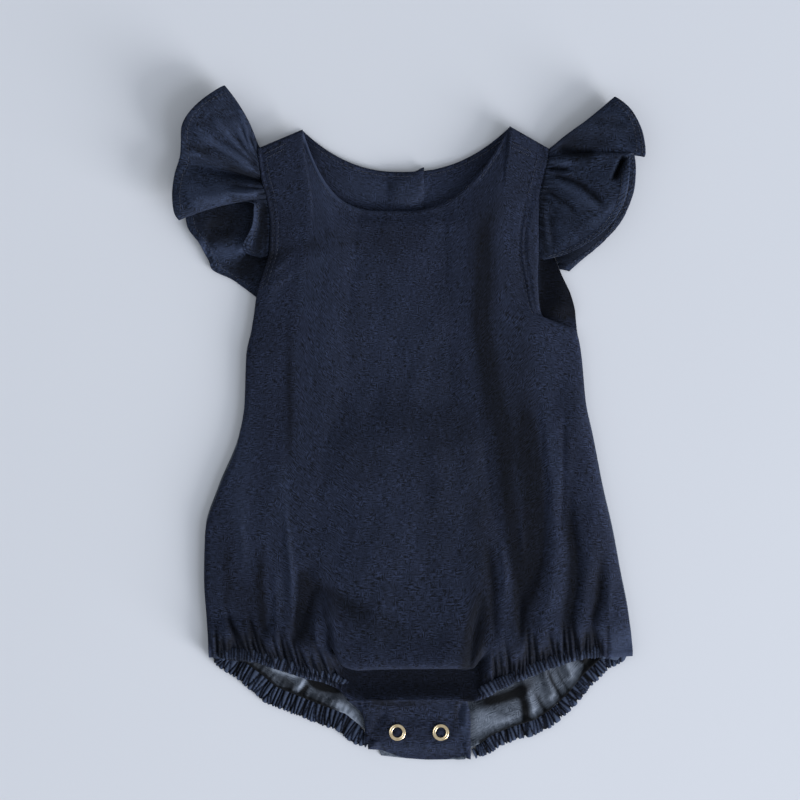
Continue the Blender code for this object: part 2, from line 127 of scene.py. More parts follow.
def creaseField(x, y, creases, ends=0.3):
    # each crease: its line, its reach on the left and right hand of someone walking it, its height
    # (below nothing for a trough), and its shape, from 1 for a sharp fold to 4 for an even patch;
    # ends is the share of the line over which it rises at one end and dies away at the other
    total = np.zeros(np.shape(x))
    for line, leftReach, rightReach, height, shape in creases:
        nearest, side, share = nearestOn(throughPoints(line, 5), x, y)
        reach = np.where(side > 0, leftReach, rightReach)
        taper = ease(share / ends) * ease((1 - share) / ends)
        total += height * taper * np.exp(-((nearest / reach) ** shape))
    return total


def reliefRows(offset, rows, start=0):
    # ridges and grooves beside an edge, each with its distance from the edge, its height and width
    return sum((height * bump(offset - place, width) for place, height, width in rows), start)


def linear(hexColour):
    channels = [int(hexColour[i:i + 2], 16) / 255 for i in (1, 3, 5)]
    return [c / 12.92 if c <= 0.04045 else ((c + 0.055) / 1.055) ** 2.4 for c in channels] + [1.0]


def addNode(tree, kind, sockets=(), **settings):
    # a node with its settings; a socket is given a number, a colour, or another node's output
    made = tree.nodes.new("ShaderNode" + kind)
    for name, value in settings.items():
        setattr(made, name, value)
    for name, value in dict(sockets).items():
        if isinstance(value, bpy.types.NodeSocket):
            tree.links.new(value, made.inputs[name])
        else:
            made.inputs[name].default_value = value
    return made


def newMaterial(name):
    material = bpy.data.materials.new(name)
    material.use_nodes = True
    tree = material.node_tree
    shader = tree.nodes["Principled BSDF"]
    return material, tree, shader


# Thread spacing is really 0.35 mm, too fine to show at this size, so the weave is drawn 0.7 mm wide,
# as coarse as it needs to be seen.
def wovenMaterial(name, look):
    material, tree, shader = newMaterial(name)
    place = addNode(tree, "UVMap", uv_map="clothUV")
    drawn = {}
    for use, (across, along, detail) in look["threads"].items():
        # noise drawn out along one set of threads, sizes in millimetres
        placed = addNode(tree, "Mapping", {"Vector": place.outputs[0],
                                           "Scale": (1 / (across * mm), 1 / (along * mm), 1.0)})
        noise = addNode(tree, "TexNoise", {"Vector": placed.outputs[0], "Scale": 1.0,
                                           "Detail": detail, "Roughness": 0.6})
        drawn[use] = noise.outputs["Fac"]
    # patches where the weft stands out, and others where the warp does
    onTop = addNode(tree, "MapRange", {"Value": drawn["patches"],
                                       "From Min": 0.38, "From Max": 0.52})
    weave = addNode(tree, "Mix", {0: onTop.outputs[0], 2: drawn["warp"], 3: drawn["weft"]})
    weave = addNode(tree, "Mix", {0: 0.15, 2: weave.outputs[0], 3: drawn["grain"]})
    # the threads are plain to see in some places and fade into a smooth blue in others
    plain = addNode(tree, "MapRange", {"Value": drawn["clumps"], "From Min": 0.4, "From Max": 0.6,
                                       "To Min": 0.5, "To Max": 1.2})
    weave = addNode(tree, "Mix", {0: plain.outputs[0], 2: 0.5, 3: weave.outputs[0]},
                    clamp_factor=False)
    share = addNode(tree, "MapRange", {"Value": weave.outputs[0],
                                       "From Min": look["middle"] - look["spread"],
                                       "From Max": look["middle"] + look["spread"]})
    colour = addNode(tree, "Mix", {0: share.outputs[0], 6: linear(look["dark"]),
                                   7: linear(look["light"])}, data_type="RGBA")
    cloud = addNode(tree, "MapRange", {"Value": drawn["clouds"], "From Min": 0.3, "From Max": 0.7,
                                       "To Min": 0.86, "To Max": 1.14})
    # paler where the attribute is above nothing, from wear and painted light; darker where it is below,
    # from kept indigo and painted shade
    wearAndShade = addNode(tree, "Attribute", attribute_name="wearAndShade")
    indigoAndShade = addNode(tree, "MapRange", {"Value": wearAndShade.outputs["Fac"], "From Min": -1.0, "From Max": 0.0,
                                      "To Min": look["indigoAndShade"], "To Max": 1.0})
    tone = addNode(tree, "Math", {0: cloud.outputs[0], 1: indigoAndShade.outputs[0]}, operation="MULTIPLY")
    toned = addNode(tree, "Mix", {0: 1.0, 6: colour.outputs[2], 7: tone.outputs[0]},
                    data_type="RGBA", blend_type="MULTIPLY")
    wearAndLightMix = addNode(tree, "Mix", {0: wearAndShade.outputs["Fac"], 6: toned.outputs[2],
                                  7: linear(look["wearAndShade"])}, data_type="RGBA")
    tree.links.new(wearAndLightMix.outputs[2], shader.inputs["Base Color"])
    rough = addNode(tree, "MapRange", {"Value": weave.outputs[0], "From Min": 0.3, "From Max": 0.7,
                                       "To Min": look["rough"] + 0.06, "To Max": look["rough"] - 0.06})
    tree.links.new(rough.outputs[0], shader.inputs["Roughness"])
    height = addNode(tree, "Math", {0: drawn["creasing"], 1: look["creasing"], 2: weave.outputs[0]},
                     operation="MULTIPLY_ADD")
    relief = addNode(tree, "Bump", {"Strength": look["relief"], "Distance": 0.22 * mm,
                                    "Height": height.outputs[0]})
    tree.links.new(relief.outputs[0], shader.inputs["Normal"])
    for socket, value in (("Specular IOR Level", look["shine"]), ("Sheen Weight", look["sheen"]),
                          ("Sheen Roughness", 0.45), ("Sheen Tint", linear(look["sheenTint"]))):
        shader.inputs[socket].default_value = value
    return material


# Raw indigo chambray denim, soft and matt: nearly black blue with paler threads showing through.
# Each noise has its size across and along the cloth in millimetres, and its detail.
denimLook = {
    "dark": "#0c0f16", "light": "#2d354b", "wearAndShade": "#414b62",
    "indigoAndShade": 0.25, "middle": 0.52, "spread": 0.11,
    "threads": {"warp": (0.7, 3.2, 2.0), "weft": (3.4, 0.7, 2.0), "grain": (0.9, 0.9, 1.0),
                "patches": (4.2, 4.2, 2.0), "clumps": (9.0, 7.0, 1.0),
                "clouds": (28.0, 36.0, 2.0), "creasing": (7.0, 9.0, 3.0)},
    "rough": 0.88, "relief": 0.6, "creasing": 1.6,
    "shine": 0.16, "sheen": 0.05, "sheenTint": "#8b9bbd",
}
indigoDenim = wovenMaterial("indigoDenim", denimLook)

# The same cloth cut for the gathered ruffles, painted a little lighter all over, as if standing up to the
# light.
ruffleLook = dict(denimLook, light="#303a50", relief=0.5, creasing=1.2)
ruffleDenim = wovenMaterial("ruffleDenim", ruffleLook)

# The casings' bunched cloth: the same denim, its crests lighter and its folds darker, partly wear and
# partly painted light and shade.
casingLook = dict(denimLook, light="#303a50", wearAndShade="#525d72", indigoAndShade=0.08, creasing=0.8)
casingDenim = wovenMaterial("casingDenim", casingLook)

# The wrong side, where the undyed weft lies on top: a soft blue grey.
wrongSideLook = dict(denimLook, dark="#343a42", light="#6c737e", wearAndShade="#878f9b", indigoAndShade=0.03,
                     middle=0.5, spread=0.13, creasing=2.0, shine=0.2)
denimWrongSide = wovenMaterial("denimWrongSide", wrongSideLook)


def mottledMaterial(name, look):
    # two tones in soft clouds, with a relief of its own or the clouds' own, for all that isn't cloth
    material, tree, shader = newMaterial(name)
    place = addNode(tree, "TexCoord").outputs["Object"]
    cloud = addNode(tree, "TexNoise", {"Vector": place, **look["cloud"]}).outputs["Fac"]
    colour = addNode(tree, "Mix", {0: cloud, 6: linear(look["dark"]), 7: linear(look["light"])},
                     data_type="RGBA")
    tree.links.new(colour.outputs[2], shader.inputs["Base Color"])
    if "rough" in look:
        low, high = look["rough"]
        rough = addNode(tree, "MapRange", {"Value": cloud, "From Min": 0.3, "From Max": 0.7,
                                           "To Min": low, "To Max": high})
        tree.links.new(rough.outputs[0], shader.inputs["Roughness"])
    fine = cloud
    if "fine" in look:
        kind, settings = look["fine"]
        fine = addNode(tree, kind, {"Vector": place, **settings}).outputs["Fac"]
    relief = addNode(tree, "Bump", {"Strength": look["relief"], "Distance": look["depth"] * mm,
                                    "Height": fine})
    tree.links.new(relief.outputs[0], shader.inputs["Normal"])
    for socket, value in look["shader"].items():
        shader.inputs[socket].default_value = value
    return material


# Spun polyester thread, two tones of navy that catch the light a little more than the cloth.
navyThread = mottledMaterial("navyThread", {
    "cloud": {"Scale": 1500.0, "Detail": 2.0}, "dark": "#151a26", "light": "#252c3d",
    "fine": ("TexWave", {"Scale": 900.0, "Distortion": 2.0}), "relief": 0.4, "depth": 0.05,
    "shader": {"Roughness": 0.6, "Sheen Weight": 0.1},
})

# Pressed brass with pale gold plating, polished on the crown and slightly dulled in the hollows.
paleGoldPlate = mottledMaterial("paleGoldPlate", {
    "cloud": {"Scale": 700.0, "Detail": 4.0}, "dark": "#e0c08a", "light": "#f7e8c6",
    "rough": (0.22, 0.36),
    "fine": ("TexNoise", {"Scale": 4000.0, "Detail": 2.0}), "relief": 0.15, "depth": 0.03,
    "shader": {"Metallic": 1.0},
})

# Cast polyester resin, navy with a faint cloud in it and a soft polish.
navyButtonResin = mottledMaterial("navyButtonResin", {
    "cloud": {"Scale": 260.0, "Detail": 3.0, "Distortion": 1.5}, "dark": "#171d2b",
    "light": "#323c55", "rough": (0.3, 0.42), "relief": 0.1, "depth": 0.04, "shader": {},
})

# A board with matt, cool white paint: nearly even, with the faintest mottle.
mattWhitePaint = mottledMaterial("mattWhitePaint", {
    "cloud": {"Scale": 3.0, "Detail": 3.0}, "dark": "#d9dadc", "light": "#dddee0",
    "fine": ("TexNoise", {"Scale": 900.0, "Detail": 2.0}), "relief": 0.05, "depth": 0.1,
    "shader": {"Roughness": 0.85, "Specular IOR Level": 0.2},
})
print("finishes ready:", len(bpy.data.materials))


def inScene(name, data):
    made = bpy.data.objects.new(name, data)
    bpy.context.scene.collection.objects.link(made)
    return made


def pickOnly(made):
    bpy.ops.object.select_all(action="DESELECT")
    bpy.context.view_layer.objects.active = made
    made.select_set(True)


def applyLast(made):
    bpy.ops.object.modifier_apply(modifier=made.modifiers[-1].name)


def clothObject(name, points, faces, flatPlaces, wearAndShade, materials):
    # a mesh of points in millimetres; flatPlaces are the same points on the flat cloth
    mesh = bpy.data.meshes.new(name)
    mesh.from_pydata((points * mm).tolist(), [], faces)
    layer = mesh.uv_layers.new(name="clothUV")
    corners = np.empty(len(mesh.loops), np.int32)
    mesh.loops.foreach_get("vertex_index", corners)
    layer.uv.foreach_set("vector", (flatPlaces[corners] * mm).astype(np.float32).ravel())
    mesh.attributes.new("wearAndShade", "FLOAT", "POINT").data.foreach_set("value", wearAndShade.astype(np.float32))
    for material in materials:
        mesh.materials.append(material)
    mesh.shade_smooth()
    return inScene(name, mesh)


def gridOf(rows, columns):
    return [(r * columns + c, r * columns + c + 1, (r + 1) * columns + c + 1, (r + 1) * columns + c)
            for r in range(rows - 1) for c in range(columns - 1)]


def addWall(cloth, thickness, offset=-1.0, inside=0):
    # the cloth's thickness, added on its underside, or on both sides with offset at nothing;
    # inside is how many material slots further on the underside's finish is
    wall = cloth.modifiers.new("wall", "SOLIDIFY")
    wall.thickness, wall.offset = thickness * mm, offset
    wall.use_even_offset = False
    wall.material_offset = inside
    pickOnly(cloth)
    applyLast(cloth)
    cloth.select_set(False)
    return cloth


stitching = {"pitch": 2.7, "length": 2.15, "thread": 0.34, "inset": 1.0, "wander": 0.12, "seed": 31,
             "sides": 5, "wide": 1.15, "high": 0.8,
             # along a stitch: the share of its length, of its thickness, and how far it is lifted
             "rings": ((0.0, 0.35, -0.25), (0.25, 1.0, 0.1), (0.75, 1.0, 0.1), (1.0, 0.35, -0.25))}
tackStitching = dict(stitching, pitch=1.5, length=1.25, inset=0.2)


def stitchRow(line, settings, seed):
    # stitches laid along a line of points: low lozenges that dip into the cloth at both ends
    rng = np.random.default_rng(seed)
    lengths = lengthsAlong(line)
    starts = np.arange(settings["inset"], lengths[-1] - settings["pitch"], settings["pitch"])
    starts = starts + rng.uniform(-settings["wander"], settings["wander"], len(starts))
    points, faces, sides = [], [], settings["sides"]
    turns = np.linspace(0, 2 * math.pi, sides, endpoint=False)
    for start in starts:
        ends = [[np.interp(start + settings["length"] * share, lengths, line[:, k]) for k in range(3)]
                for share in (0, 1)]
        first, last = np.array(ends)
        run = last - first
        run /= max(np.linalg.norm(run), 1e-9)
        side = np.cross(run, (0, 0, 1))
        side /= max(np.linalg.norm(side), 1e-9)
        up = np.cross(side, run)
        base = len(points)
        for share, size, lift in settings["rings"]:
            middle = mix(first, last, share) + up * (lift * settings["thread"])
            for turn in turns:
                across = side * math.cos(turn) * settings["wide"]
                across = across + up * math.sin(turn) * settings["high"]
                points.append(middle + across * settings["thread"] / 2 * size)
        lastRing = (len(settings["rings"]) - 1) * sides
        for ring in range(base, base + lastRing, sides):
            for k in range(sides):
                a, b = ring + k, ring + (k + 1) % sides
                faces.append((a, b, b + sides, a + sides))
        faces.append(tuple(base + k for k in reversed(range(sides))))
        faces.append(tuple(base + lastRing + k for k in range(sides)))
    return points, faces


def threadObject(name, lines, settings):
    points, faces = [], []
    for i, line in enumerate(lines):
        morePoints, moreFaces = stitchRow(np.array(line, float), settings, settings["seed"] + i)
        faces += [tuple(k + len(points) for k in face) for face in moreFaces]
        points += morePoints
    mesh = bpy.data.meshes.new(name)
    mesh.from_pydata((np.array(points) * mm).tolist(), [], faces)
    mesh.materials.append(navyThread)
    mesh.shade_smooth()
    made = inScene(name, mesh)
    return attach(made, "root")


# level, the front's left and right edge, the back's right edge, and the height of the front's
# underside at its left edge, its right edge and its crown
bodyRows = (
    (165, -90.5, 83.5, 83.5, 1.4, 1.4, 1.6),
    (150, -88.8, 81.0, 82.0, 4.6, 4.6, 4.6),
    (135, -85.0, 78.0, 81.5, 5.6, 5.6, 6.0),
    (120, -83.0, 77.5, 83.0, 5.8, 5.8, 6.7),
    (105, -83.5, 77.5, 86.0, 5.8, 5.8, 7.2),
    (92, -87.2, 77.0, 90.5, 4.6, 5.6, 7.4),
    (78, -91.4, 77.5, 97.0, 1.8, 5.2, 7.6),
    (67, -92.9, 79.6, 99.7, 1.3, 4.2, 7.6),
    (63, -93.6, 90.0, 100.1, 1.3, 2.2, 7.6),
    (60, -94.1, 97.6, 100.4, 1.3, 1.5, 7.6),
    (57, -94.6, 100.5, 100.7, 1.3, 1.3, 7.6),
    (45, -97.3, 103.0, 103.0, 1.3, 1.3, 7.4),
    (15, -98.5, 106.0, 106.0, 1.3, 1.3, 7.6),
    (-5, -102.0, 110.3, 110.3, 1.3, 1.3, 8.2),
    (-35, -114.2, 116.2, 116.2, 1.3, 1.3, 8.8),
    (-60, -122.0, 122.0, 122.0, 1.3, 1.3, 9.6),
    (-85, -122.6, 126.7, 126.7, 1.3, 1.3, 10.6),
    (-110, -121.0, 131.5, 131.5, 1.5, 1.5, 11.8),
    (-132, -119.8, 133.8, 133.8, 4.6, 4.6, 13.0),
)
bodyTop, bodyLow = bodyRows[0], bodyRows[-1]
topLevel, lowLevel = bodyTop[0], bodyLow[0]
leftSide, rightSide, backRightSide, leftHeight, rightHeight, crownHeight = range(1, 7)
# the same sides with the armholes' corners drawn out, which the cloth's threads keep to further in
innerSides = (
    (165, -90.5, 83.5), (120, -83.0, 78.5), (92, -87.2, 82.0), (62, -93.4, 92.0), (45, -97.3, 98.0),
    (15, -98.5, 105.0), (-5, -102.0, 110.3), (-35, -114.2, 116.2), (-60, -122.0, 122.0),
    (-85, -122.6, 126.7), (-110, -121.0, 131.5), (-132, -119.8, 133.8),
)
# the gathered lower edge: x, y, the height of the casing's band there, and how far up the cloth lies
# low over the crotch before the bubble rises
frontHem = (
    (-119.8, -139.4, 7.0, 0), (-108.0, -141.2, 8.2, 0), (-93.0, -142.3, 9.4, 0), (-82.2, -145.5, 10.2, 0),
    (-63.0, -151.5, 10.2, 0), (-52.0, -154.2, 9.6, 0), (-44.0, -157.4, 8.8, 6), (-35.4, -164.1, 8.0, 13),
    (-27.6, -166.0, 6.8, 15), (-16.0, -165.4, 6.4, 15), (30.0, -165.0, 6.4, 15), (37.0, -165.4, 7.2, 14),
    (42.0, -164.6, 8.0, 10), (48.6, -160.5, 8.8, 4), (57.6, -156.0, 9.4, 0), (72.6, -150.3, 10.2, 0),
    (90.6, -143.7, 10.2, 0), (99.6, -141.3, 9.8, 0), (108.6, -138.9, 9.2, 0), (120.0, -139.6, 8.0, 0),
    (133.8, -138.6, 6.6, 0),
)
hemLevel, bandHeight, lowReach = range(1, 4)
# each neckline's lowest place, and its corners with how steeply it climbs to them
frontNeck = {"low": (-5.0, 127.5), "left": (-63.5, 176.0, 3.9), "right": (60.0, 178.0, 2.5)}
backNeck = {"low": (-4.0, 151.3), "left": (-63.5, 176.0, 2.3), "right": (60.0, 178.0, 2.3)}
wallThickness = 1.0  # from the underside that bodyRows gives to the outer face


def acrossHem(u):
    return mix(bodyLow[leftSide], bodyLow[rightSide], u)


def acrossTop(u):
    return mix(bodyTop[leftSide], bodyTop[rightSide], u)


def shareOfTop(x):
    return (x - bodyTop[leftSide]) / (bodyTop[rightSide] - bodyTop[leftSide])


def acrossBody(u, level, power=7):
    # the place across the front at a level, and its two edges there
    left, right = (readTable(bodyRows, side, level) for side in (leftSide, rightSide))
    innerLeft, innerRight = (readTable(innerSides, side, level) for side in (leftSide, rightSide))
    x = mix(innerLeft, innerRight, u)
    x = x + (left - innerLeft) * (1 - u) ** power + (right - innerRight) * u**power
    return x, left, right


def topEdge(x, neck):
    # the neckline between its two corners, and the shoulders outside them
    lowX, lowY = neck["low"]
    (leftX, leftY, leftPower), (rightX, rightY, rightPower) = neck["left"], neck["right"]
    leftShare = np.clip((lowX - x) / (lowX - leftX), 0, 1)
    rightShare = np.clip((x - lowX) / (rightX - lowX), 0, 1)
    scoop = lowY + (leftY - lowY) * leftShare**leftPower + (rightY - lowY) * rightShare**rightPower
    leftEdge, rightEdge = bodyTop[leftSide], bodyTop[rightSide]
    leftArm = np.clip((x - leftEdge) / (leftX - leftEdge), 0, 1)
    rightArm = np.clip((rightEdge - x) / (rightEdge - rightX), 0, 1)
    shoulders = np.where(x < lowX, mix(topLevel, leftY, leftArm), mix(topLevel, rightY, rightArm))
    return np.where((x > leftX) & (x < rightX), scoop, shoulders)


def neckSlant(x, neck, step=0.2):
    # how much longer a line straight down is than one square to the neckline
    rise = (topEdge(x + step, neck) - topEdge(x - step, neck)) / (2 * step)
    return np.sqrt(1 + rise**2)


def neckDistance(x, y, neck, farAway=99.0):
    # how far a point is below the neckline, square to it
    inside = (x > neck["left"][0]) & (x < neck["right"][0])
    return np.where(inside, (topEdge(x, neck) - y) / neckSlant(x, neck), farAway)


# the leg edges' gathers: where they run, their pitch and depth with the chances round them, how many
# reach far up, how they lean (sideways for each millimetre upwards), and the band they cover: its
# height, how far its lower edge turns down, and the distance in which the bubble rises above it
gathers = {
    "leftSpan": (-117.8, -33.0), "rightSpan": (39.0, 122.0), "pitch": 2.3, "spacing": (0.6, 1.4),
    "depth": 2.6, "depths": (0.75, 1.3), "longDepth": 1.15, "widths": (0.6, 0.95),
    "longShare": 0.28, "longReach": (17, 32), "shortReach": (9, 16),
    "leaning": (-104, 0), "leanLeft": (-0.42, -0.1), "leanRight": (-0.12, 0.1),
    "band": 8.4, "bandDrop": 2.4, "bubbleRise": 24.0,
}


def makePuckers(low, high, seed):
    # places along the lower edge where the cloth is nipped in: x, depth, half width, reach upwards, lean
    rng = np.random.default_rng(seed)
    puckers, at = [], low
    while at < high:
        slope = (readTable(frontHem, hemLevel, at + 1) - readTable(frontHem, hemLevel, at - 1)) / 2
        long = rng.random() < gathers["longShare"]
        reach = rng.uniform(*gathers["longReach" if long else "shortReach"])
        depth = rng.uniform(*gathers["depths"]) * (gathers["longDepth"] if long else 1.0)
        fade = float(ease((at - low + 2) / 6) * ease((high - at) / 12))
        leansLeft = gathers["leaning"][0] < at < gathers["leaning"][1]
        lean = rng.uniform(*gathers["leanLeft" if leansLeft else "leanRight"])
        puckers.append((at, depth * fade, rng.uniform(*gathers["widths"]), reach, lean))
        at += gathers["pitch"] * rng.uniform(*gathers["spacing"]) / math.sqrt(1 + slope**2)
    return puckers


leftPuckers = makePuckers(*gathers["leftSpan"], 11)
rightPuckers = makePuckers(*gathers["rightSpan"], 23)


def puckerField(hemX, above, farthest=16):
    # nips between rounded crests, deepest over the casing's band
    total = np.zeros(np.shape(hemX))
    for at, depth, width, reach, lean in (*leftPuckers, *rightPuckers):
        near = np.abs(hemX - at) < farthest
        if not near.any():
            continue
        off = np.abs(hemX[near] - at - lean * np.maximum(above[near] - 4, 0))
        widening = width * (1 + 0.7 * np.clip(above[near] / reach, 0, 1.5))
        fade = 1 - ease((above[near] - 5.5) / reach)
        total[near] -= depth * fade * np.exp(-((off / widening) ** 1.4))
    return total * gathers["depth"]


# creases: line from the top down, reach to the right (the walker's left hand) and to the left,
# height, shape
frontPanel = {
    "thickness": 0.6, "rise": 318, "flatHigh": 330, "sidePowers": (26, 0.6), "sideRoll": 1.3,
    # how much of its height each side keeps below the arms, and the share of the width it takes to
    # regain it; it keeps all of it by the arms and near the legs
    "slump": ((0.45, 0.32), (0.8, 0.25)), "byArms": (35, 40), "nearLegs": (112, 22),
    # where things begin, and the distance in which they come in: the armholes' seams, the side
    # seams' foot, the neck's lying down; and above the tuck, its own folds and the bubble's shape
    "leftArm": (76, 10), "rightArm": (62, 8), "sideFoot": (-134, 8), "neckDrop": (118, 8),
    "tuckFolds": (27, 8), "tuckEnds": (36, 42), "neckDepth": 1.8, "neckReach": 20,
    # height, size and seed of its unevenness, which is broad and fine
    "uneven": ((0.25, 46, 3), (0.15, 15, 4)),
    # how strongly each place is painted: the gathers' crests paler (wear and painted light), the folds'
    # hollows in painted shade, ridges in painted light, the tuck in painted shade, the neck's edge paler
    "crestWearAndLight": 0.75, "hollowShade": 0.42, "ridgeLight": 0.08, "tuckShade": 0.8, "neckEdgePale": 0.6,
    # the armholes' turned edges with their two rows of stitching, and the neck's narrow hem:
    # distance from the edge, height, width
    "leftSeam": ((0.9, 0.7, 0.9), (2.6, -0.5, 0.5), (3.8, 0.3, 0.7), (4.9, -0.4, 0.5)),
    "rightSeam": ((1.6, 0.5, 1.0), (3.2, -0.8, 0.6), (4.8, 0.5, 1.0), (6.4, -0.6, 0.6)),
    "neckHem": ((0.8, 0.5, 0.8), (2.4, -0.35, 0.5)),
    "creases": (
        # the long fold down the right side: two hollows side by side, and the ridge beyond them
        (((81.5, 152.5), (62, 139), (47, 119.5), (45, 86.5), (42.5, 62.5), (47, 38.5), (51.5, 17.5),
          (56.5, -3.5), (57.5, -33.5), (60.5, -57.5), (62, -81.5), (65.5, -99.5), (66.5, -129.5)),
         4.6, 5, -2.6, 1.6),
        (((64, 23.5), (71, 2.5), (73, -15.5), (76, -33.5), (76, -57.5), (75, -81.5), (71.5, -99.5),
          (67, -114.5)), 4.6, 5, -2.7, 1.7),
        (((65.5, -27.5), (67, -57.5), (67, -81.5)), 1.8, 1.8, 0.7, 1.5),
        (((77, 47.5), (79, 14.5), (82, -9.5), (85, -33.5), (87, -57.5), (86.5, -81.5), (84, -99.5),
          (79, -117.5), (76, -132.5)), 8, 5, 1.2, 1.5),
        (((66, -81.5), (66.5, -105.5), (66.5, -132.5)), 2.6, 2.4, -2, 1.6),
        (((54.5, -63.5), (57, -87.5), (57, -105.5)), 2.2, 2, 1.3, 1.5),
        (((46, -66.5), (48, -81.5), (50, -99.5), (50.5, -114.5), (52, -132.5)), 2.4, 2.8, -1.7, 1.6),
        # the right side's folds above the leg
        (((92, 11.5), (92, -33.5), (90.5, -69.5)), 1.6, 1.4, -0.9, 1.5),
        (((95, -27.5), (96.5, -57.5), (99, -81.5), (98, -99.5), (95.5, -117.5), (95.5, -135.5)),
         3.2, 6, -3.2, 1.6),
        (((110, -45.5), (108.5, -72.5), (105, -99.5), (102.5, -129.5)), 3, 3.6, 0.5, 1.5),
        (((117, -69.5), (114, -90.5), (113.5, -102.5), (110, -114.5), (107.5, -134)), 2.8, 3, -2.2, 1.6),
        (((122, -81.5), (119.5, -102.5), (117, -129.5)), 2.4, 2.6, 0.7, 1.5),
        # the left side's long pinched fold and the hollows at its foot
        (((-71, 66), (-71.5, 23.5), (-71, 2.5), (-71.5, -30)), 2.4, 2.2, -2.0, 1.5),
        (((-74.5, -9.5), (-74, -33.5), (-72.5, -63.5), (-70, -93.5), (-69, -129.5)), 1.4, 2, 1.5, 1.4),
        (((-65, -81.5), (-63.5, -99.5), (-66, -117.5), (-69, -134)), 6, 3.2, -3.4, 1.8),
        (((-65.5, -93.5), (-51, -98), (-35.5, -106), (-20, -115.5)), 3.5, 5, -1.7, 1.6),
        (((-48.5, -116), (-48, -124.5), (-47.5, -135.5)), 1.6, 1.6, -1.3, 1.5),
        (((-56, -112.5), (-56, -123.5), (-54.5, -134)), 3.4, 3, 1.4, 1.6),
        (((-87, -74), (-89, -90.5), (-87.5, -111.5), (-86, -132.5)), 2.4, 2.6, -2.8, 1.6),
        (((-80, -81.5), (-79, -105.5), (-79, -132.5)), 3, 2.4, 0.9, 1.5),
        (((-107, -57.5), (-108, -81.5), (-108.5, -99.5), (-114, -117.5)), 3, 2.4, -1.4, 1.6),
        (((-99, -39.5), (-100, -63.5), (-98, -93.5)), 4, 3, 0.8, 1.7),
        (((-114.5, -84.5), (-112, -105.5), (-108, -129.5)), 2, 1.8, 0.7, 1.5),
        (((44, -100), (39, -124), (36, -146), (34.5, -180)), 4.5, 3.5, -3.2, 1.6),
        # drags from the left underarm, and the chest beside the neck
        (((-89, 80.5), (-66, 91.5), (-38, 105)), 3, 5, 1.2, 1.4),
        (((-87, 98), (-66, 105), (-50, 108)), 4, 4, -1.6, 1.6),
        (((-88, 88), (-72, 99), (-60, 112)), 2, 3, 0.9, 1.4),
        (((-52, 160), (-50, 134), (-46, 110)), 6, 9, 1.4, 1.6),
    ),
    # broad swells and hollows: the belly, the sides, and the hollows beside the long folds
    "swells": (
        (((-60, -16), (-20, -12), (25, -12), (54, -10)), 20, 90, 3.0, 1.7),
        (((-106, 40), (-108, 0), (-118, -50), (-122, -110)), 36, 12, 2.2, 1.7),
        (((104, 40), (108, 0), (116, -50), (126, -100)), 12, 30, 2.6, 1.7),
        (((48, 60), (50, 10), (54, -40), (60, -110)), 12, 36, -1.6, 1.8),
        (((14, -8), (16, -30), (18, -58)), 8, 4, 0.9, 1.5),
        (((-22, -128), (0, -130), (24, -128)), 9, 9, -1.0, 1.8),
    ),
    # painted shade in the folds' beds and dark bands, and painted light where it is a little paler
    "shades": (
        (((64, 88), (68, 14), (71.4, -33), (73.8, -81), (68.5, -112), (65, -160)), 9.5, 9.5, -0.72, 3.0),
        (((44, 150), (41.4, 110), (43.8, 62), (47, 14), (56, -40)), 10, 6, -0.5, 2.2),
        (((40, 10), (42, -50), (44, -81), (44, -112), (42, -160)), 8, 8, -0.42, 2.2),
        (((44, -92), (39, -122), (36, -146), (35, -185)), 5.5, 5.0, -0.8, 2.4),
        (((-66, 6), (-20, 4), (26, 2), (60, 0)), 12, 26, -0.2, 2.4),
        (((-102, 30), (-101, 0), (-100, -40), (-98, -90)), 9, 9, 0.12, 2.0),
        (((-99, -88), (-97, -112), (-95, -146)), 9, 8, -0.45, 2.4),
        (((-62, -92), (-61, -112), (-62, -146)), 6, 5, -0.5, 2.4),
        (((-60, -104), (-38, -111), (-16, -117), (8, -124)), 6, 9, -0.45, 2.0),
        (((-30, -126), (0, -128), (34, -126)), 8, 8, -0.18, 2.0),
        (((-56, 113), (-32, 110), (-8, 112), (20, 110)), 6, 8, -0.28, 2.0),
        (((-87, 166), (-83.6, 136), (-81.5, 116), (-83.5, 98), (-89, 76)), 3, 3, -0.5, 2.0),
        (((-66, -30), (-40, -26), (-10, -34)), 9, 8, -0.14, 2.0),
        (((18, 50), (22, 4), (26, -46), (30, -118)), 22, 22, -0.24, 2.4),
        (((109, -62), (110, -90), (108, -118)), 6, 6, -0.32, 2.4),
        (((64, -60), (65, -92), (64.5, -124)), 3, 3, -0.4, 2.4),
        (((39, -112), (37, -132), (36, -152)), 6, 5.5, -0.55, 2.4),
        (((96, 26), (97, 0), (98, -36)), 5, 5, -0.12, 2.0),
        (((-94, 104), (-84, 96), (-70, 93)), 9, 9, -0.32, 2.0),
        (((70, 120), (68, 90), (66, 60)), 8, 8, -0.16, 2.0),
    ),
    # over the crotch: cloth climbed from the lower edge, how far up the garment it is, its height
    "underFold": ((0, 0, 7.6), (1.5, 1.4, 7.5), (6, 5.6, 5.4), (11, 10.4, 3.2), (16, 15.4, 2.2),
                  (21, 20.2, 2.2), (24, 22.0, 4.6), (26.5, 20.6, 8.6), (29.5, 19.6, 12.4),
                  (33, 20.8, 15.8), (37, 23.6, 17.0), (45, 31.0, 16.8), (56, 43.0, 16.2),
                  (78, 78.0, 15.6)),
}
foldCloth, foldUp, foldHeight = throughPoints(frontPanel["underFold"], 8).T


def rightSeamDrift(y):
    # the right armhole's two rows wander in from the edge and back
    return 5.0 * bump(y - 108, 22)


def tuckedShare(hemX):
    # how far the cloth there is tucked back under the bubble
    return ease((readTable(frontHem, lowReach, hemX) - 1.5) / 10.0)


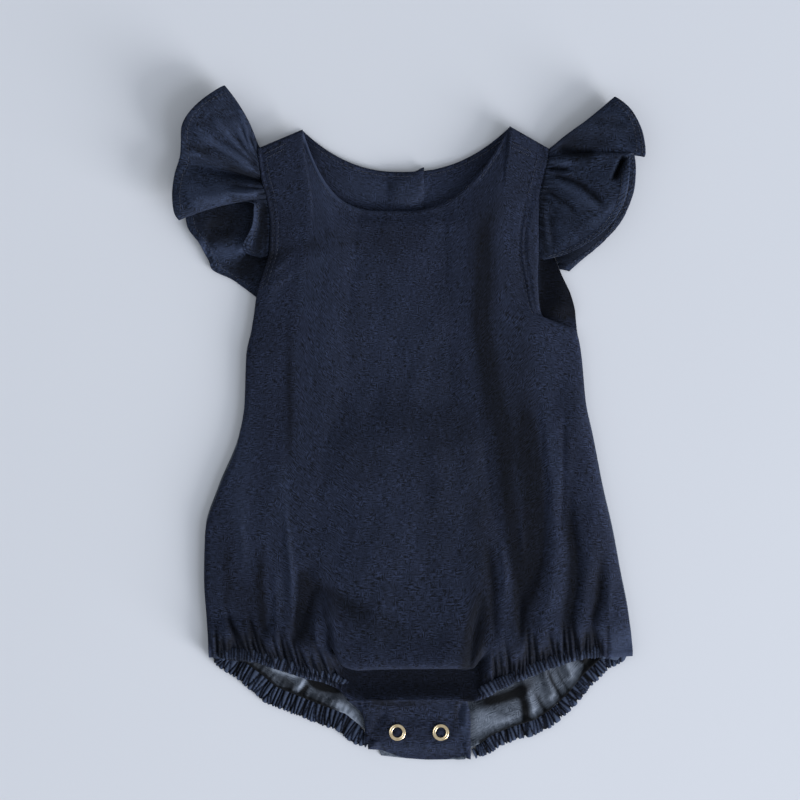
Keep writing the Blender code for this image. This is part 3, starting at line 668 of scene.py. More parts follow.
def frontSeams(x, y, left, right, fromNeck):
    leftArm, rightArm = ramp(y, *frontPanel["leftArm"]), ramp(y, *frontPanel["rightArm"])
    relief = leftArm * reliefRows(x - left, frontPanel["leftSeam"])
    relief = relief + rightArm * reliefRows(right - x - rightSeamDrift(y), frontPanel["rightSeam"])
    relief = reliefRows(fromNeck, frontPanel["neckHem"], relief)
    # the neckline lies down towards the back
    lying = 1 - ease(fromNeck / frontPanel["neckReach"])
    relief = relief - frontPanel["neckDepth"] * lying * ramp(y, *frontPanel["neckDrop"])
    # below the armholes the side seam rolls down to meet the back
    side = np.minimum(x - left, right - x)
    closed = np.where(x - left < right - x, 1 - leftArm, 1 - rightArm)
    closed = closed * ramp(y, *frontPanel["sideFoot"])
    return relief, frontPanel["sideRoll"] * closed * bump(side, frontPanel["sideRoll"])


def frontSurface(u, v):
    # the front's outer face: u from side to side, v from the gathered edge to the top
    hemX, topX = acrossHem(u), acrossTop(u)
    x, left, right = acrossBody(u, mix(lowLevel, topLevel, v))
    hemY, bandTop, tuck = (readTable(frontHem, k, hemX) for k in (hemLevel, bandHeight, lowReach))
    y = mix(hemY, topEdge(topX, frontNeck), v)
    above = y - hemY
    edge = mix(readTable(bodyRows, leftHeight, y), readTable(bodyRows, rightHeight, y), u)
    square, soft = frontPanel["sidePowers"]
    across = (1 - np.abs(2 * u - 1) ** square) ** soft
    # below the arms the sides lie lower than the middle, the left one most
    (leftKept, leftReach), (rightKept, rightReach) = frontPanel["slump"]
    slump = mix(leftKept, 1, ease(u / leftReach)) * mix(rightKept, 1, ease((1 - u) / rightReach))
    standing = np.maximum(ramp(y, *frontPanel["byArms"]), ramp(-y, *frontPanel["nearLegs"]))
    slump = mix(slump, 1, standing)
    crown = edge + (readTable(bodyRows, crownHeight, y) - edge) * across * slump
    # over the crotch the cloth tucks back under the bubble
    tucked = tuckedShare(hemX)
    reach = np.clip(above, 0, foldCloth[-1])
    foldY, foldZ = np.interp(reach, foldCloth, foldUp), np.interp(reach, foldCloth, foldHeight)
    y = y + tucked * (foldY - reach)
    folds = creaseField(x, y, frontPanel["creases"]) + creaseField(x, y, frontPanel["swells"])
    (broad, *broadNoise), (fine, *fineNoise) = frontPanel["uneven"]
    folds = folds + broad * softNoise(x, y, *broadNoise) * across + fine * softNoise(x, y, *fineNoise)
    # the band over the casing, and the bubble rising above it
    half = gathers["band"] / 2
    band = bandTop - gathers["bandDrop"] * np.abs(np.clip((above - half) / half, -1, 0.3)) ** 2.6
    roll = np.sin(math.pi / 2 * np.clip((above - half - tuck) / gathers["bubbleRise"], 0, 1))
    height = mix(band, np.maximum(crown + folds * across**0.5 + wallThickness, band), roll)
    merge = ramp(above, *frontPanel["tuckEnds"])
    foldZ = foldZ + folds * ramp(above, *frontPanel["tuckFolds"])
    height = mix(height, mix(foldZ, height, merge), tucked)
    height = height + puckerField(hemX, above) * (1 - 0.8 * tucked)
    relief, rolledDown = frontSeams(x, y, left, right, neckDistance(topX, y, frontNeck))
    return np.stack([x, y, height + relief - rolledDown], axis=-1)


coarseStep = 3  # above the gathers, one column of the front's faces stands on this many


def frontColumns():
    # close columns where the legs are gathered and wider ones over the crotch, in whole coarse steps
    spans = ((-119.8, -117.5, 4), (-117.5, -33, 198), (-33, 40, 90), (40, 121, 189), (121, 133.8, 17))
    hemX = np.concatenate([np.linspace(low, high, steps, endpoint=False) for low, high, steps in spans])
    hemX = np.append(hemX, bodyLow[rightSide])
    u = (hemX - bodyLow[leftSide]) / (bodyLow[rightSide] - bodyLow[leftSide])
    for corner in (frontNeck["left"][0], frontNeck["right"][0]):
        share = shareOfTop(corner)
        u[coarseStep * np.argmin(np.abs(u[::coarseStep] - share))] = share
    return np.sort(u)


def frontWearAndShade(u, v, surface):
    # the gathers' crests are paler, partly wear and partly painted light; the nips and the folds' hollows
    # carry painted shade, the ridges painted light
    hemX, above = acrossHem(u), v * frontPanel["rise"]
    nips = puckerField(hemX, above)
    crest = np.clip(0.4 + nips, 0, 1) * (1 - ramp(above, 10, 14)) * frontPanel["crestWearAndLight"]
    crest = crest - np.clip(-0.6 * nips, 0, 0.95)
    tucked = tuckedShare(hemX)
    # painted shade where the cloth tucks back under the bubble over the crotch
    indigoAndShade = tucked * ramp(above, 1, 4) * (1 - ramp(above, 24, 8))
    x, y = surface[..., 0], surface[..., 1]
    folds = creaseField(x, y, frontPanel["creases"])
    shade = np.where(folds < 0, frontPanel["hollowShade"], frontPanel["ridgeLight"]) * folds
    shade = shade + creaseField(x, y, frontPanel["shades"])
    # the neck's turned edge is paler, mostly on the left side
    topX = acrossTop(u)
    fromNeck = neckDistance(topX, topEdge(topX, frontNeck) - (1 - v) * frontPanel["rise"], frontNeck)
    shade = shade * (1 - indigoAndShade)
    shade = shade + frontPanel["neckEdgePale"] * bump(fromNeck - 0.8, 0.8) * ease((8 - topX) / 30)
    return np.clip(crest * (1 - tucked) - frontPanel["tuckShade"] * indigoAndShade + shade, -0.95, 0.75)


def makeFrontCloth():
    fineU = frontColumns()
    coarseU = fineU[::coarseStep]
    fineAbove = np.concatenate([np.linspace(0, 12, 21, endpoint=False), np.linspace(12, 44, 31)])
    fineV = fineAbove / frontPanel["rise"]
    coarseV = np.linspace(fineV[-1], 1, 125)[1:]
    points, flat, wearAndShade = [], [], []
    for us, vs in ((fineU, fineV), (coarseU, coarseV)):
        u, v = np.meshgrid(us, vs)
        surface = frontSurface(u, v)
        points.append(surface.reshape(-1, 3))
        flat.append(np.stack([acrossHem(u), v * frontPanel["flatHigh"]], axis=-1).reshape(-1, 2))
        wearAndShade.append(frontWearAndShade(u, v, surface).reshape(-1))
    faces = gridOf(len(fineV), len(fineU))
    lastRow, base = (len(fineV) - 1) * len(fineU), len(fineV) * len(fineU)
    for c in range(len(coarseU) - 1):
        under = [lastRow + coarseStep * c + k for k in range(coarseStep + 1)]
        faces.append((*under, base + c + 1, base + c))
    faces += [tuple(k + base for k in face) for face in gridOf(len(coarseV), len(coarseU))]
    made = clothObject("frontPanelCloth", np.vstack(points), faces, np.vstack(flat),
                       np.concatenate(wearAndShade), [indigoDenim, denimWrongSide])
    return addWall(made, frontPanel["thickness"], inside=1)


frontCloth = makeFrontCloth()
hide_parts("front_panel")
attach(frontCloth, "root")
print("front panel:", len(frontCloth.data.polygons), "faces")


# the elastic casings: bunched bands with the middle line of each, from the front tab's corner out to
# the side and back along the back. The relief has a share for the front and one for the back, and
# makes a band wider and thicker; at its knots one edge or the other swells a little
casing = {
    "width": 8.2, "thick": 2.8, "wall": 0.4, "ring": 22, "step": 0.4, "pitch": 1.7, "gathered": 1.7,
    "lap": {"left": 4.2, "right": 1.2}, "turnHeight": 3.3, "flatHalf": 11, "squared": 0.8,
    # the gathers on the back of the band: their spacing, depths, widths and lean
    "spacing": (0.5, 1.5), "depths": (0.8, 2.1), "widths": (0.34, 0.62), "leans": (-0.5, 0.2),
    "relief": (0.7, 0.85), "standing": 0.45, "widening": 0.75, "thickening": 0.8, "fade": 1.3,
    "knots": 3.2, "knotSwell": (-0.35, 0.5), "endNarrow": 0.35, "endReach": 7, "frontNarrow": 0.1,
    "lapReach": 14,
    "left": (
        (-29.5, -163.0, 1.5), (-36.0, -158.6, 1.8), (-45.0, -152.4, 5.4), (-62.0, -147.6, 7.2),
        (-78.0, -142.6, 7.4), (-91.0, -138.2, 6.8), (-104.0, -136.9, 5.8), (-111.0, -137.2, 4.8),
        (-114.0, -139.0, 3.3), (-111.4, -142.4, 1.6), (-105.0, -146.4, 1.4), (-93.0, -155.2, 1.4),
        (-83.0, -163.5, 1.4), (-68.0, -169.6, 1.4), (-54.0, -175.2, 1.4), (-41.5, -179.6, 1.4),
        (-33.0, -186.6, 1.4), (-24.5, -191.4, 1.4),
    ),
    "right": (
        (42.5, -161.6, 5.2), (51.5, -156.0, 6.0), (65.0, -149.8, 6.8), (78.0, -144.8, 7.4),
        (90.0, -140.0, 7.4), (100.0, -137.2, 6.8), (112.0, -135.8, 5.8), (121.5, -136.6, 4.8),
        (126.6, -138.0, 3.3), (123.0, -140.4, 1.6), (117.5, -143.4, 1.4), (107.5, -152.6, 1.4),
        (98.5, -163.6, 1.4), (87.5, -174.0, 1.4), (77.0, -180.8, 1.4), (62.0, -185.4, 1.4),
        (52.0, -189.6, 1.4), (45.5, -194.2, 1.4), (38.5, -197.6, 1.4),
    ),
}
layerGap = 0.3


def besideCasing(side):
    # where the back's cloth laps the part of a casing that lies on the surface
    stops, reach = casing[side], casing["width"] / 2 + casing["lap"][side] - 1.0
    flat = [stop for stop in stops if stop[2] <= casing["thick"] / 2]
    edge = []
    for i, stop in enumerate(flat):
        before, after = flat[max(i - 1, 0)], flat[min(i + 1, len(flat) - 1)]
        runX, runY = after[0] - before[0], after[1] - before[1]
        scale = reach / math.hypot(runX, runY) * math.copysign(1, runX)
        edge.append((stop[0] - runY * scale, stop[1] + runX * scale))
    return sorted(edge)


backHemLeft = [(-119.6, -134.6), *besideCasing("left"), (-18.5, -192.5), (-17.0, -198.4),
               (-0.15, -200.3)]
backHemRight = [(0.15, -200.3), (33.5, -200.6), (36.5, -196.5), *besideCasing("right"),
                (133.6, -134.2)]


def middleOf(node):
    low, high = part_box(node)
    return (low + high) / 2


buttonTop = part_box("button_upper")[1].z / mm
buttonSpots = [tuple(middleOf(node) / mm)[:2] for node in ("button_upper", "button_lower")]
backPanels = {
    "thickness": 0.8, "low": -200.3, "high": 151.3, "flatHigh": 352, "outerPart": 0.86, "gap": 0.15,
    # the placket: how far it laps over the other back and from what level, the width of the slope up
    # onto it, and how far back that starts; its top corner's height, place and width
    "overlap": 9.0, "overlapFoot": 60.0, "stepUp": 4.0, "stepBack": 0.7, "corner": (2.2, 8.5, 3.0),
    # the leg edges: how far they climb onto the casings, and their nips; the neck's stand, and the
    # curl of the right armhole's edge
    "legLap": 2.0, "legNips": 0.35, "nipTurns": (330, 211), "neckStand": 1.2, "armCurl": 3.6,
    "uneven": 0.12, "columns": (138, 13),
    "rows": ((-200.3, -128, 98), (-128, 58.8, 44)), "placketRows": (58.8, 59.9, 60.1, 61.5),
    "upperRows": (63, 151.3, 56),
    # crumples of the wrong side, seen through the leg openings; lines go from the front edge back
    "crumples": (
        (((66, -146), (71, -160), (77, -180)), 3.0, 4.0, 3.2, 1.4),
        (((79, -142), (84, -156), (89, -171)), 2.4, 3.2, 3.0, 1.4),
        (((92, -136), (96, -148), (101, -158)), 2.4, 3.2, 3.0, 1.4),
        (((75.5, -145), (79, -160), (83.5, -175)), 1.8, 1.8, -1.2, 1.6),
        (((88, -139), (91.5, -153), (95.5, -164)), 1.6, 1.6, -1.2, 1.6),
        (((34, -170), (50, -172.5), (68, -178.5)), 4.5, 9.0, 3.0, 1.4),
        (((103, -132), (106, -142), (109, -150)), 2.5, 3.0, 2.4, 1.6),
        (((-90, -141), (-80, -146), (-72, -149), (-61, -150.5)), 3.0, 5.5, 4.2, 1.4),
        (((-62, -150), (-65, -155.5), (-69.6, -160.5), (-74, -165)), 1.6, 3.2, 4.6, 1.3),
        (((-57, -157), (-50, -158), (-44, -158)), 3.0, 3.0, -1.0, 1.5),
        (((-48, -164), (-40, -170), (-30, -178)), 3.5, 5.0, 3.2, 1.6),
        (((-58, -163), (-54, -166), (-50, -171)), 2.0, 3.0, 1.8, 1.6),
        (((-97, -141), (-92, -147), (-88, -153)), 2.2, 2.6, 2.4, 1.6),
    ),
    # painted light where the wrong side looks paler, and painted shade where it looks dark
    "shades": (
        # left leg: the lit patch, the grey bed below it, the turned lip, and the deep wedge behind it
        (((-86, -143), (-78.6, -146.7), (-70.2, -148.5), (-61, -151.5)), 2.6, 2.4, 0.85, 3.0),
        (((-96, -138), (-90, -143), (-84, -149), (-80, -154)), 4.0, 4.5, -0.55, 2.6),
        (((-82, -149), (-74, -153.5), (-70, -158.5), (-74, -166)), 3.2, 4.2, -0.8, 3.0),
        (((-62.0, -145), (-64.4, -155), (-68.6, -160.5), (-74.5, -168)), 1.5, 1.9, 0.55, 3.0),
        (((-59, -141), (-58.6, -152), (-50, -157), (-28, -157.5)), 3.2, 3.0, -2.0, 3.0),
        (((-60, -155), (-63.4, -159.5), (-69, -165.5)), 2.0, 1.5, -1.2, 2.6),
        (((-68, -165), (-56, -163), (-46, -163), (-34, -160)), 4.0, 5.0, -0.6, 2.4),
        (((-56, -160.5), (-50, -161.5), (-45, -165)), 1.6, 2.2, 0.15, 2.6),
        (((-47, -166), (-40, -170.5), (-35, -175), (-27, -183)), 3.4, 3.4, 0.9, 3.0),
        # right leg: the pale lobe, the dark bed round it, and the three pale pleats beyond
        (((30, -176), (42, -177), (54, -179.5), (70, -186)), 5.4, 9.0, 0.12, 4.0),
        (((34, -167), (46, -166), (57.6, -163.5), (69, -158), (74, -148)), 4.4, 3.6, -1.1, 3.0),
        (((64, -156), (68.6, -166), (69.8, -176), (69.4, -184), (65, -194)), 3.2, 2.4, -1.1, 3.0),
        (((71, -158), (73.4, -167), (75.4, -175), (77.4, -183)), 1.4, 1.4, 0.25, 3.0),
        (((74, -158), (78.5, -166.5), (82, -172.5), (87, -181)), 1.7, 1.3, -0.8, 2.6),
        (((84, -160), (87, -167), (91, -174)), 1.6, 1.6, 0.3, 2.6),
        (((81, -142), (85.4, -153), (89.4, -160), (95, -170)), 1.1, 1.1, -1.0, 2.4),
        (((86, -140), (91, -152), (95.4, -159), (101, -167)), 0.7, 0.8, -0.7, 2.4),
        (((88, -139), (95, -144), (100.5, -149), (98.5, -157), (96, -164)), 3.0, 2.6, 0.36, 3.0),
        (((96, -130), (104, -139.5), (107.5, -143.5), (104, -156)), 3.4, 2.8, -2.0, 3.0),
        (((108, -136), (114, -141), (120, -146)), 3.0, 3.0, -1.2, 2.6),
        # painted light: the neck's facing and the placket are a little lighter
        (((-54, 158), (-30, 142), (-4, 138), (26, 141), (50, 156)), 9, 12, 0.16, 2.4),
    ),
}


def buttonLift(x, y):
    lift = np.zeros(np.shape(x))
    for spotX, spotY in buttonSpots:
        off = np.hypot(x - spotX, y - spotY)
        lift = np.maximum(lift, 1 - ramp(off, 6.0, 7.0))
    return lift * (buttonTop + layerGap)


def backSurface(sign, u, v):
    # the back's inner face, wrong side up: u from the outer edge to the middle, v from the leg edge up
    column, hem = (leftSide, backHemLeft) if sign < 0 else (backRightSide, backHemRight)
    overlap, overlapFoot, stepUp, stepBack, gap, outer = (
        backPanels[key] for key in ("overlap", "overlapFoot", "stepUp", "stepBack", "gap", "outerPart"))
    level = mix(backPanels["low"], backPanels["high"], v)
    side = readTable(bodyRows, column, mix(lowLevel, topLevel, v))
    sideTop, sideLow = bodyTop[column], hem[0][0] if sign < 0 else hem[-1][0]
    foot = overlap + stepBack + stepUp
    inner = np.where(level >= overlapFoot, -overlap, gap)
    outerShare, innerShare = np.clip(u / outer, 0, 1), np.clip((u - outer) / (1 - outer), 0, 1)
    x, topX, lowX = (mix(mix(edge, sign * foot, outerShare), sign * inner, innerShare)
                     for edge in (side, sideTop, sideLow))
    lowX = sign * np.maximum(sign * lowX, gap)
    hemX, hemY = np.array(hem).T
    y = mix(np.interp(lowX, hemX, hemY), topEdge(topX, backNeck), v)
    lift = buttonLift(x, y)
    if sign < 0:
        step = ease((x + overlap + stepBack + stepUp) / stepUp)
        raised = ease((y - overlapFoot + (stepBack + stepUp)) / stepUp)
        lift = lift + step * raised * (backPanels["thickness"] + layerGap)
        # the placket's top corner stands a little proud of the neckline
        proud, place, width = backPanels["corner"]
        y = y + proud * bump(x - place, width) * ramp(v, 0.97, 0.03)
    crumple = np.maximum(creaseField(x, y, backPanels["crumples"]), 0)
    fromHem, _, along = nearestOn(np.array(hem, float), x, y)
    crumple = crumple * ramp(fromHem, 1, 6.0) * ramp(-y, 118, 10)
    # the leg edge climbs onto its casing, nipped in with it
    beside = ease(np.abs(x) / 12 - 1.6)
    lapped = (1 - ease(fromHem / 4.5)) * beside
    fastTurns, slowTurns = backPanels["nipTurns"]
    nips = backPanels["legNips"] * (np.sin(along * fastTurns) + np.sin(along * slowTurns + 2))
    nips = nips * (1 - ease(fromHem / 9)) * beside
    crumple = crumple + backPanels["legLap"] * lapped + nips * ease(fromHem / 2)
    fromNeck = neckDistance(topX, y, backNeck)
    relief = backPanels["uneven"] * (softNoise(x, y, 16, 8) + 1) + 0.3 * bump(fromNeck - 0.8, 0.8)
    # the neck stands up a little, and the right armhole's edge curls up round its opening
    relief = relief + backPanels["neckStand"] * ramp(y, 126, 12) * (1 - ramp(np.abs(x), 55, 12))
    if sign > 0:
        relief = relief + backPanels["armCurl"] * ramp(x, 79, 15) * ramp(y, 64, 5) * ease((104 - y) / 8)
    height = lift + backPanels["thickness"] + np.maximum(crumple + relief * (y > 40), 0)
    return np.stack([x, y, height], axis=-1)


def makeBackCloth(name, sign):
    low, high, outer = (backPanels[key] for key in ("low", "high", "outerPart"))
    outerCount, innerCount = backPanels["columns"]
    us = np.concatenate([np.linspace(0, outer, outerCount, endpoint=False),
                         np.linspace(outer, 1, innerCount)])
    # close rows at the legs, and a few round the level where the placket starts
    levels = np.concatenate([*(np.linspace(*span, endpoint=False) for span in backPanels["rows"]),
                             backPanels["placketRows"], np.linspace(*backPanels["upperRows"])])
    vs = (levels - low) / (high - low)
    u, v = np.meshgrid(us, vs)
    surface = backSurface(sign, u, v)
    flat = np.stack([surface[..., 0] + 300 * sign, v * backPanels["flatHigh"]], axis=-1)
    points = surface.reshape(-1, 3)
    x, y = points[:, 0], points[:, 1]
    # painted shade inside the right armhole's opening
    indigoAndShade = ramp(x, 76, 4) * ramp(y, 60, 5) * ease((105 - y) / 8)
    # painted shade along the leg edge where it meets its casing
    fromHem = nearestOn(np.array(backHemLeft if sign < 0 else backHemRight, float), x, y)[0]
    wearAndShade = creaseField(x, y, backPanels["shades"]) - 1.2 * indigoAndShade
    wearAndShade = np.clip(wearAndShade - 1.2 * bump(fromHem, 1.5) * (np.abs(x) > 42), -1, 1)
    made = clothObject(name, points, gridOf(len(vs), len(us)), flat.reshape(-1, 2), wearAndShade,
                       [denimWrongSide, indigoDenim, indigoDenim])
    if sign > 0:
        made.data.flip_normals()
    for face in made.data.polygons:  # the neck and armhole facings show their right side
        face.material_index = int(face.center.y > 50 * mm)
    return addWall(made, backPanels["thickness"], inside=1)


backClothLeft = makeBackCloth("backPanelClothLeft", -1)
backClothRight = makeBackCloth("backPanelClothRight", 1)
for piece, cadNode in ((backClothLeft, "back_panel_left"), (backClothRight, "back_panel_right")):
    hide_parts(cadNode)
    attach(piece, "root")
print("back panels:", len(backClothLeft.data.polygons) + len(backClothRight.data.polygons), "faces")


# both ruffles: their faces, the depth below which they have no turned hem, how much the hem stands up
# and is roped, its rows of stitching (distance from the edge, height, width), and the gathers at the
# seam
ruffle = {
    "steps": 9, "columns": 46, "uneven": 0.18, "leastDepth": 14, "hemHeight": 0.4, "roping": 0.22,
    "hemStitches": ((1.6, -0.35, 0.4), (4.4, -0.35, 0.45)), "hemEdgePale": 0.2, "underShade": 0.5,
    "seed": 5, "inset": 2.0, "depths": (0.5, 1.2), "reaches": (0.15, 0.45), "widths": (0.45, 0.8),
    "spacing": (1.8, 3.6),
}
# each spoke of a ruffle: where it leaves the armhole (y, height), its middle and its hem, from the
# front's underarm over the shoulder to the back's
leftSleeve = {
    "column": (leftSide, leftSide), "outward": -1, "beyond": (0.3, -2.4), "thickness": 0.6, "hem": 5.0,
    "front": (
        (101, 5.8, (-86.8, 100.4, 4.6), (-89.6, 100.2, 3.2)),
        (105, 6.2, (-90.8, 103.6, 4.6), (-97.4, 102.8, 3.0)),
        (109, 6.5, (-91.8, 108.4, 5.0), (-99.4, 107.4, 4.4)),
        (114, 6.7, (-90.4, 113.2, 5.4), (-97.0, 112.4, 6.4)),
        (118, 6.8, (-89.0, 118.0, 5.3), (-94.2, 117.6, 7.4)),
        (122, 6.8, (-88.4, 123.0, 5.3), (-93.0, 122.8, 7.8)),
        (127, 6.8, (-88.4, 128.0, 5.4), (-92.8, 127.8, 8.0)),
        (131, 6.8, (-89.4, 132.2, 5.9), (-94.0, 132.8, 8.0)),
        (133, 6.9, (-97.0, 134.2, 6.4), (-110.0, 133.4, 7.6)),
        (134.5, 6.9, (-107.0, 133.2, 7.4), (-127.0, 127.4, 9.0)),
        (135.5, 7.0, (-112.0, 130.6, 10.2), (-136.0, 122.6, 12.4)),
        (136.5, 7.0, (-112.6, 131.0, 13.4), (-137.2, 122.0, 15.8)),
        (138.5, 7.0, (-113.0, 134.4, 14.8), (-139.8, 127.0, 17.0)),
        (141, 6.8, (-113.0, 140.0, 12.8), (-140.8, 138.5, 15.6)),
        (143.5, 5.6, (-112.0, 146.6, 8.8), (-139.4, 149.5, 13.2)),
        (145.6, 1.6, (-108.0, 151.4, 2.6), (-137.4, 157.0, 10.4)),
        (147, 5.6, (-110.5, 154.8, 10.2), (-136.2, 161.5, 12.4)),
        (150, 8.0, (-112.0, 160.0, 14.2), (-135.6, 168.6, 15.4)),
        (153, 7.6, (-113.0, 167.5, 14.2), (-135.0, 178.0, 16.0)),
        (156.5, 7.4, (-110.5, 176.5, 14.2), (-130.0, 186.5, 16.4)),
        (160, 6.8, (-105.0, 181.5, 13.2), (-121.0, 195.0, 14.8)),
        (163, 5.2, (-96.4, 181.6, 10.0), (-110.2, 202.0, 10.6)),
    ),
    "back": (
        (163, 2.4, (-99.0, 179.0, 4.4), (-114.0, 196.0, 5.2)),
        (158, 1.7, (-106.0, 168.0, 1.2), (-125.0, 178.0, 1.4)),
        (146, 1.7, (-109.5, 150.0, 1.2), (-131.5, 156.0, 1.4)),
        (134, 1.7, (-108.8, 134.5, 1.4), (-133.5, 137.0, 2.0)),
        (124, 1.7, (-106.5, 121.5, 1.8), (-133.0, 119.5, 3.2)),
        (115, 1.7, (-103.5, 112.0, 2.4), (-125.6, 108.6, 4.8)),
        (107, 1.7, (-100.5, 104.0, 1.8), (-120.2, 98.5, 4.0)),
        (100, 1.7, (-98.0, 97.5, 0.8), (-117.2, 92.2, 2.0)),
        (92, 1.7, (-96.5, 89.0, 0.6), (-105.5, 86.6, 0.8)),
        (80, 1.5, (-89.8, 79.2, 1.2), (-91.4, 76.2, 0.8)),
    ),
    # walked from the seam outwards
    "creases": (
        # the fan of puckers over the shoulder
        (((-89, 149.5), (-103, 160), (-118, 170), (-129, 178)), 3.6, 2.4, 2.0, 1.2),
        (((-89, 152), (-99, 161), (-112, 170.5)), 1.2, 0.9, -1.7, 1.4),
        (((-89.5, 153), (-101, 165), (-112, 177), (-118, 185)), 1.8, 1.4, 1.3, 1.3),
        (((-90, 154.5), (-97, 163), (-106, 176)), 1.2, 0.8, -1.6, 1.4),
        (((-90, 156), (-98, 170), (-106, 184)), 1.7, 1.2, 1.3, 1.3),
        (((-90.5, 157), (-96, 166.5), (-100.5, 180)), 1.0, 0.9, -1.6, 1.4),
        (((-91, 158.5), (-95.5, 169), (-99, 182), (-103, 192)), 1.5, 1.4, 1.3, 1.3),
        (((-91, 159.5), (-94, 168), (-96, 176)), 0.9, 0.8, -1.3, 1.4),
        (((-96, 152.5), (-112, 162), (-126, 168)), 1.6, 1.6, -1.2, 1.5),
        (((-106, 164), (-120, 176), (-128, 186)), 3.0, 3.0, -0.8, 1.7),
        (((-118, 161), (-128, 165), (-135, 168)), 2.0, 2.0, -1.1, 1.6),
        (((-121, 159.5), (-129, 161), (-135.6, 162)), 1.2, 1.4, 0.8, 1.6),
        (((-88.5, 141.5), (-97, 141.5), (-108, 143.5)), 0.9, 1.4, -1.3, 1.4),
        (((-88.5, 138.5), (-98, 137.5), (-112, 139)), 1.2, 1.6, 1.3, 1.4),
        (((-88, 135.8), (-97, 133.8), (-107, 133.0)), 0.9, 0.8, -1.1, 1.4),
        (((-106, 138), (-120, 136), (-134, 134)), 4.5, 6.0, 1.5, 1.7),
    ),
    # painted shade on the pleat's wedge and the seam; and painted light where the half below is lit
    "shades": (
        (((-112, 155), (-104, 152), (-96, 149.4), (-86, 146)), 2.4, 1.8, -0.95, 2.6),
        (((-136, 166), (-120, 161), (-108, 156), (-98, 152)), 3.0, 2.0, -0.4, 2.2),
        (((-86.4, 134), (-85.6, 124), (-85.6, 112), (-86.4, 98)), 0.9, 0.9, -0.8, 2.4),
        (((-87.5, 142), (-88.5, 148), (-89.5, 156)), 1.6, 2.0, -0.5, 2.2),
        (((-88.0, 146), (-87.6, 122), (-89.0, 112), (-93.0, 96)), 2.4, 2.4, -1.0, 2.4),
        (((-92.8, 142), (-91.6, 122), (-94.6, 111), (-98.4, 96)), 1.3, 1.7, 0.35, 2.2),
    ),
    "backShades": (
        (((-136, 107), (-121, 104.5), (-110, 103), (-101, 106), (-92, 114)), 5.6, 6.0, 0.95, 3.2),
        (((-90, 132), (-91, 120), (-93, 108)), 3.0, 3.0, 0.3, 2.4),
        (((-120, 124), (-108, 122), (-98, 116)), 7.0, 6.0, -0.25, 2.4),
        (((-104, 92), (-98, 96), (-92, 104)), 4.5, 4.5, -0.25, 2.4),
    ),
    "backCreases": (
        (((-120.6, 115), (-121, 104), (-120.4, 95)), 5.0, 1.4, -1.6, 1.3),
        (((-89, 111), (-96, 107.6), (-104, 104)), 1.8, 1.6, 2.4, 1.5),
        (((-91, 106), (-97, 100), (-101, 90)), 5.0, 3.0, -1.8, 1.6),
        (((-104, 118), (-112, 117), (-122, 120)), 4.0, 4.0, -1.6, 1.8),
    ),
}
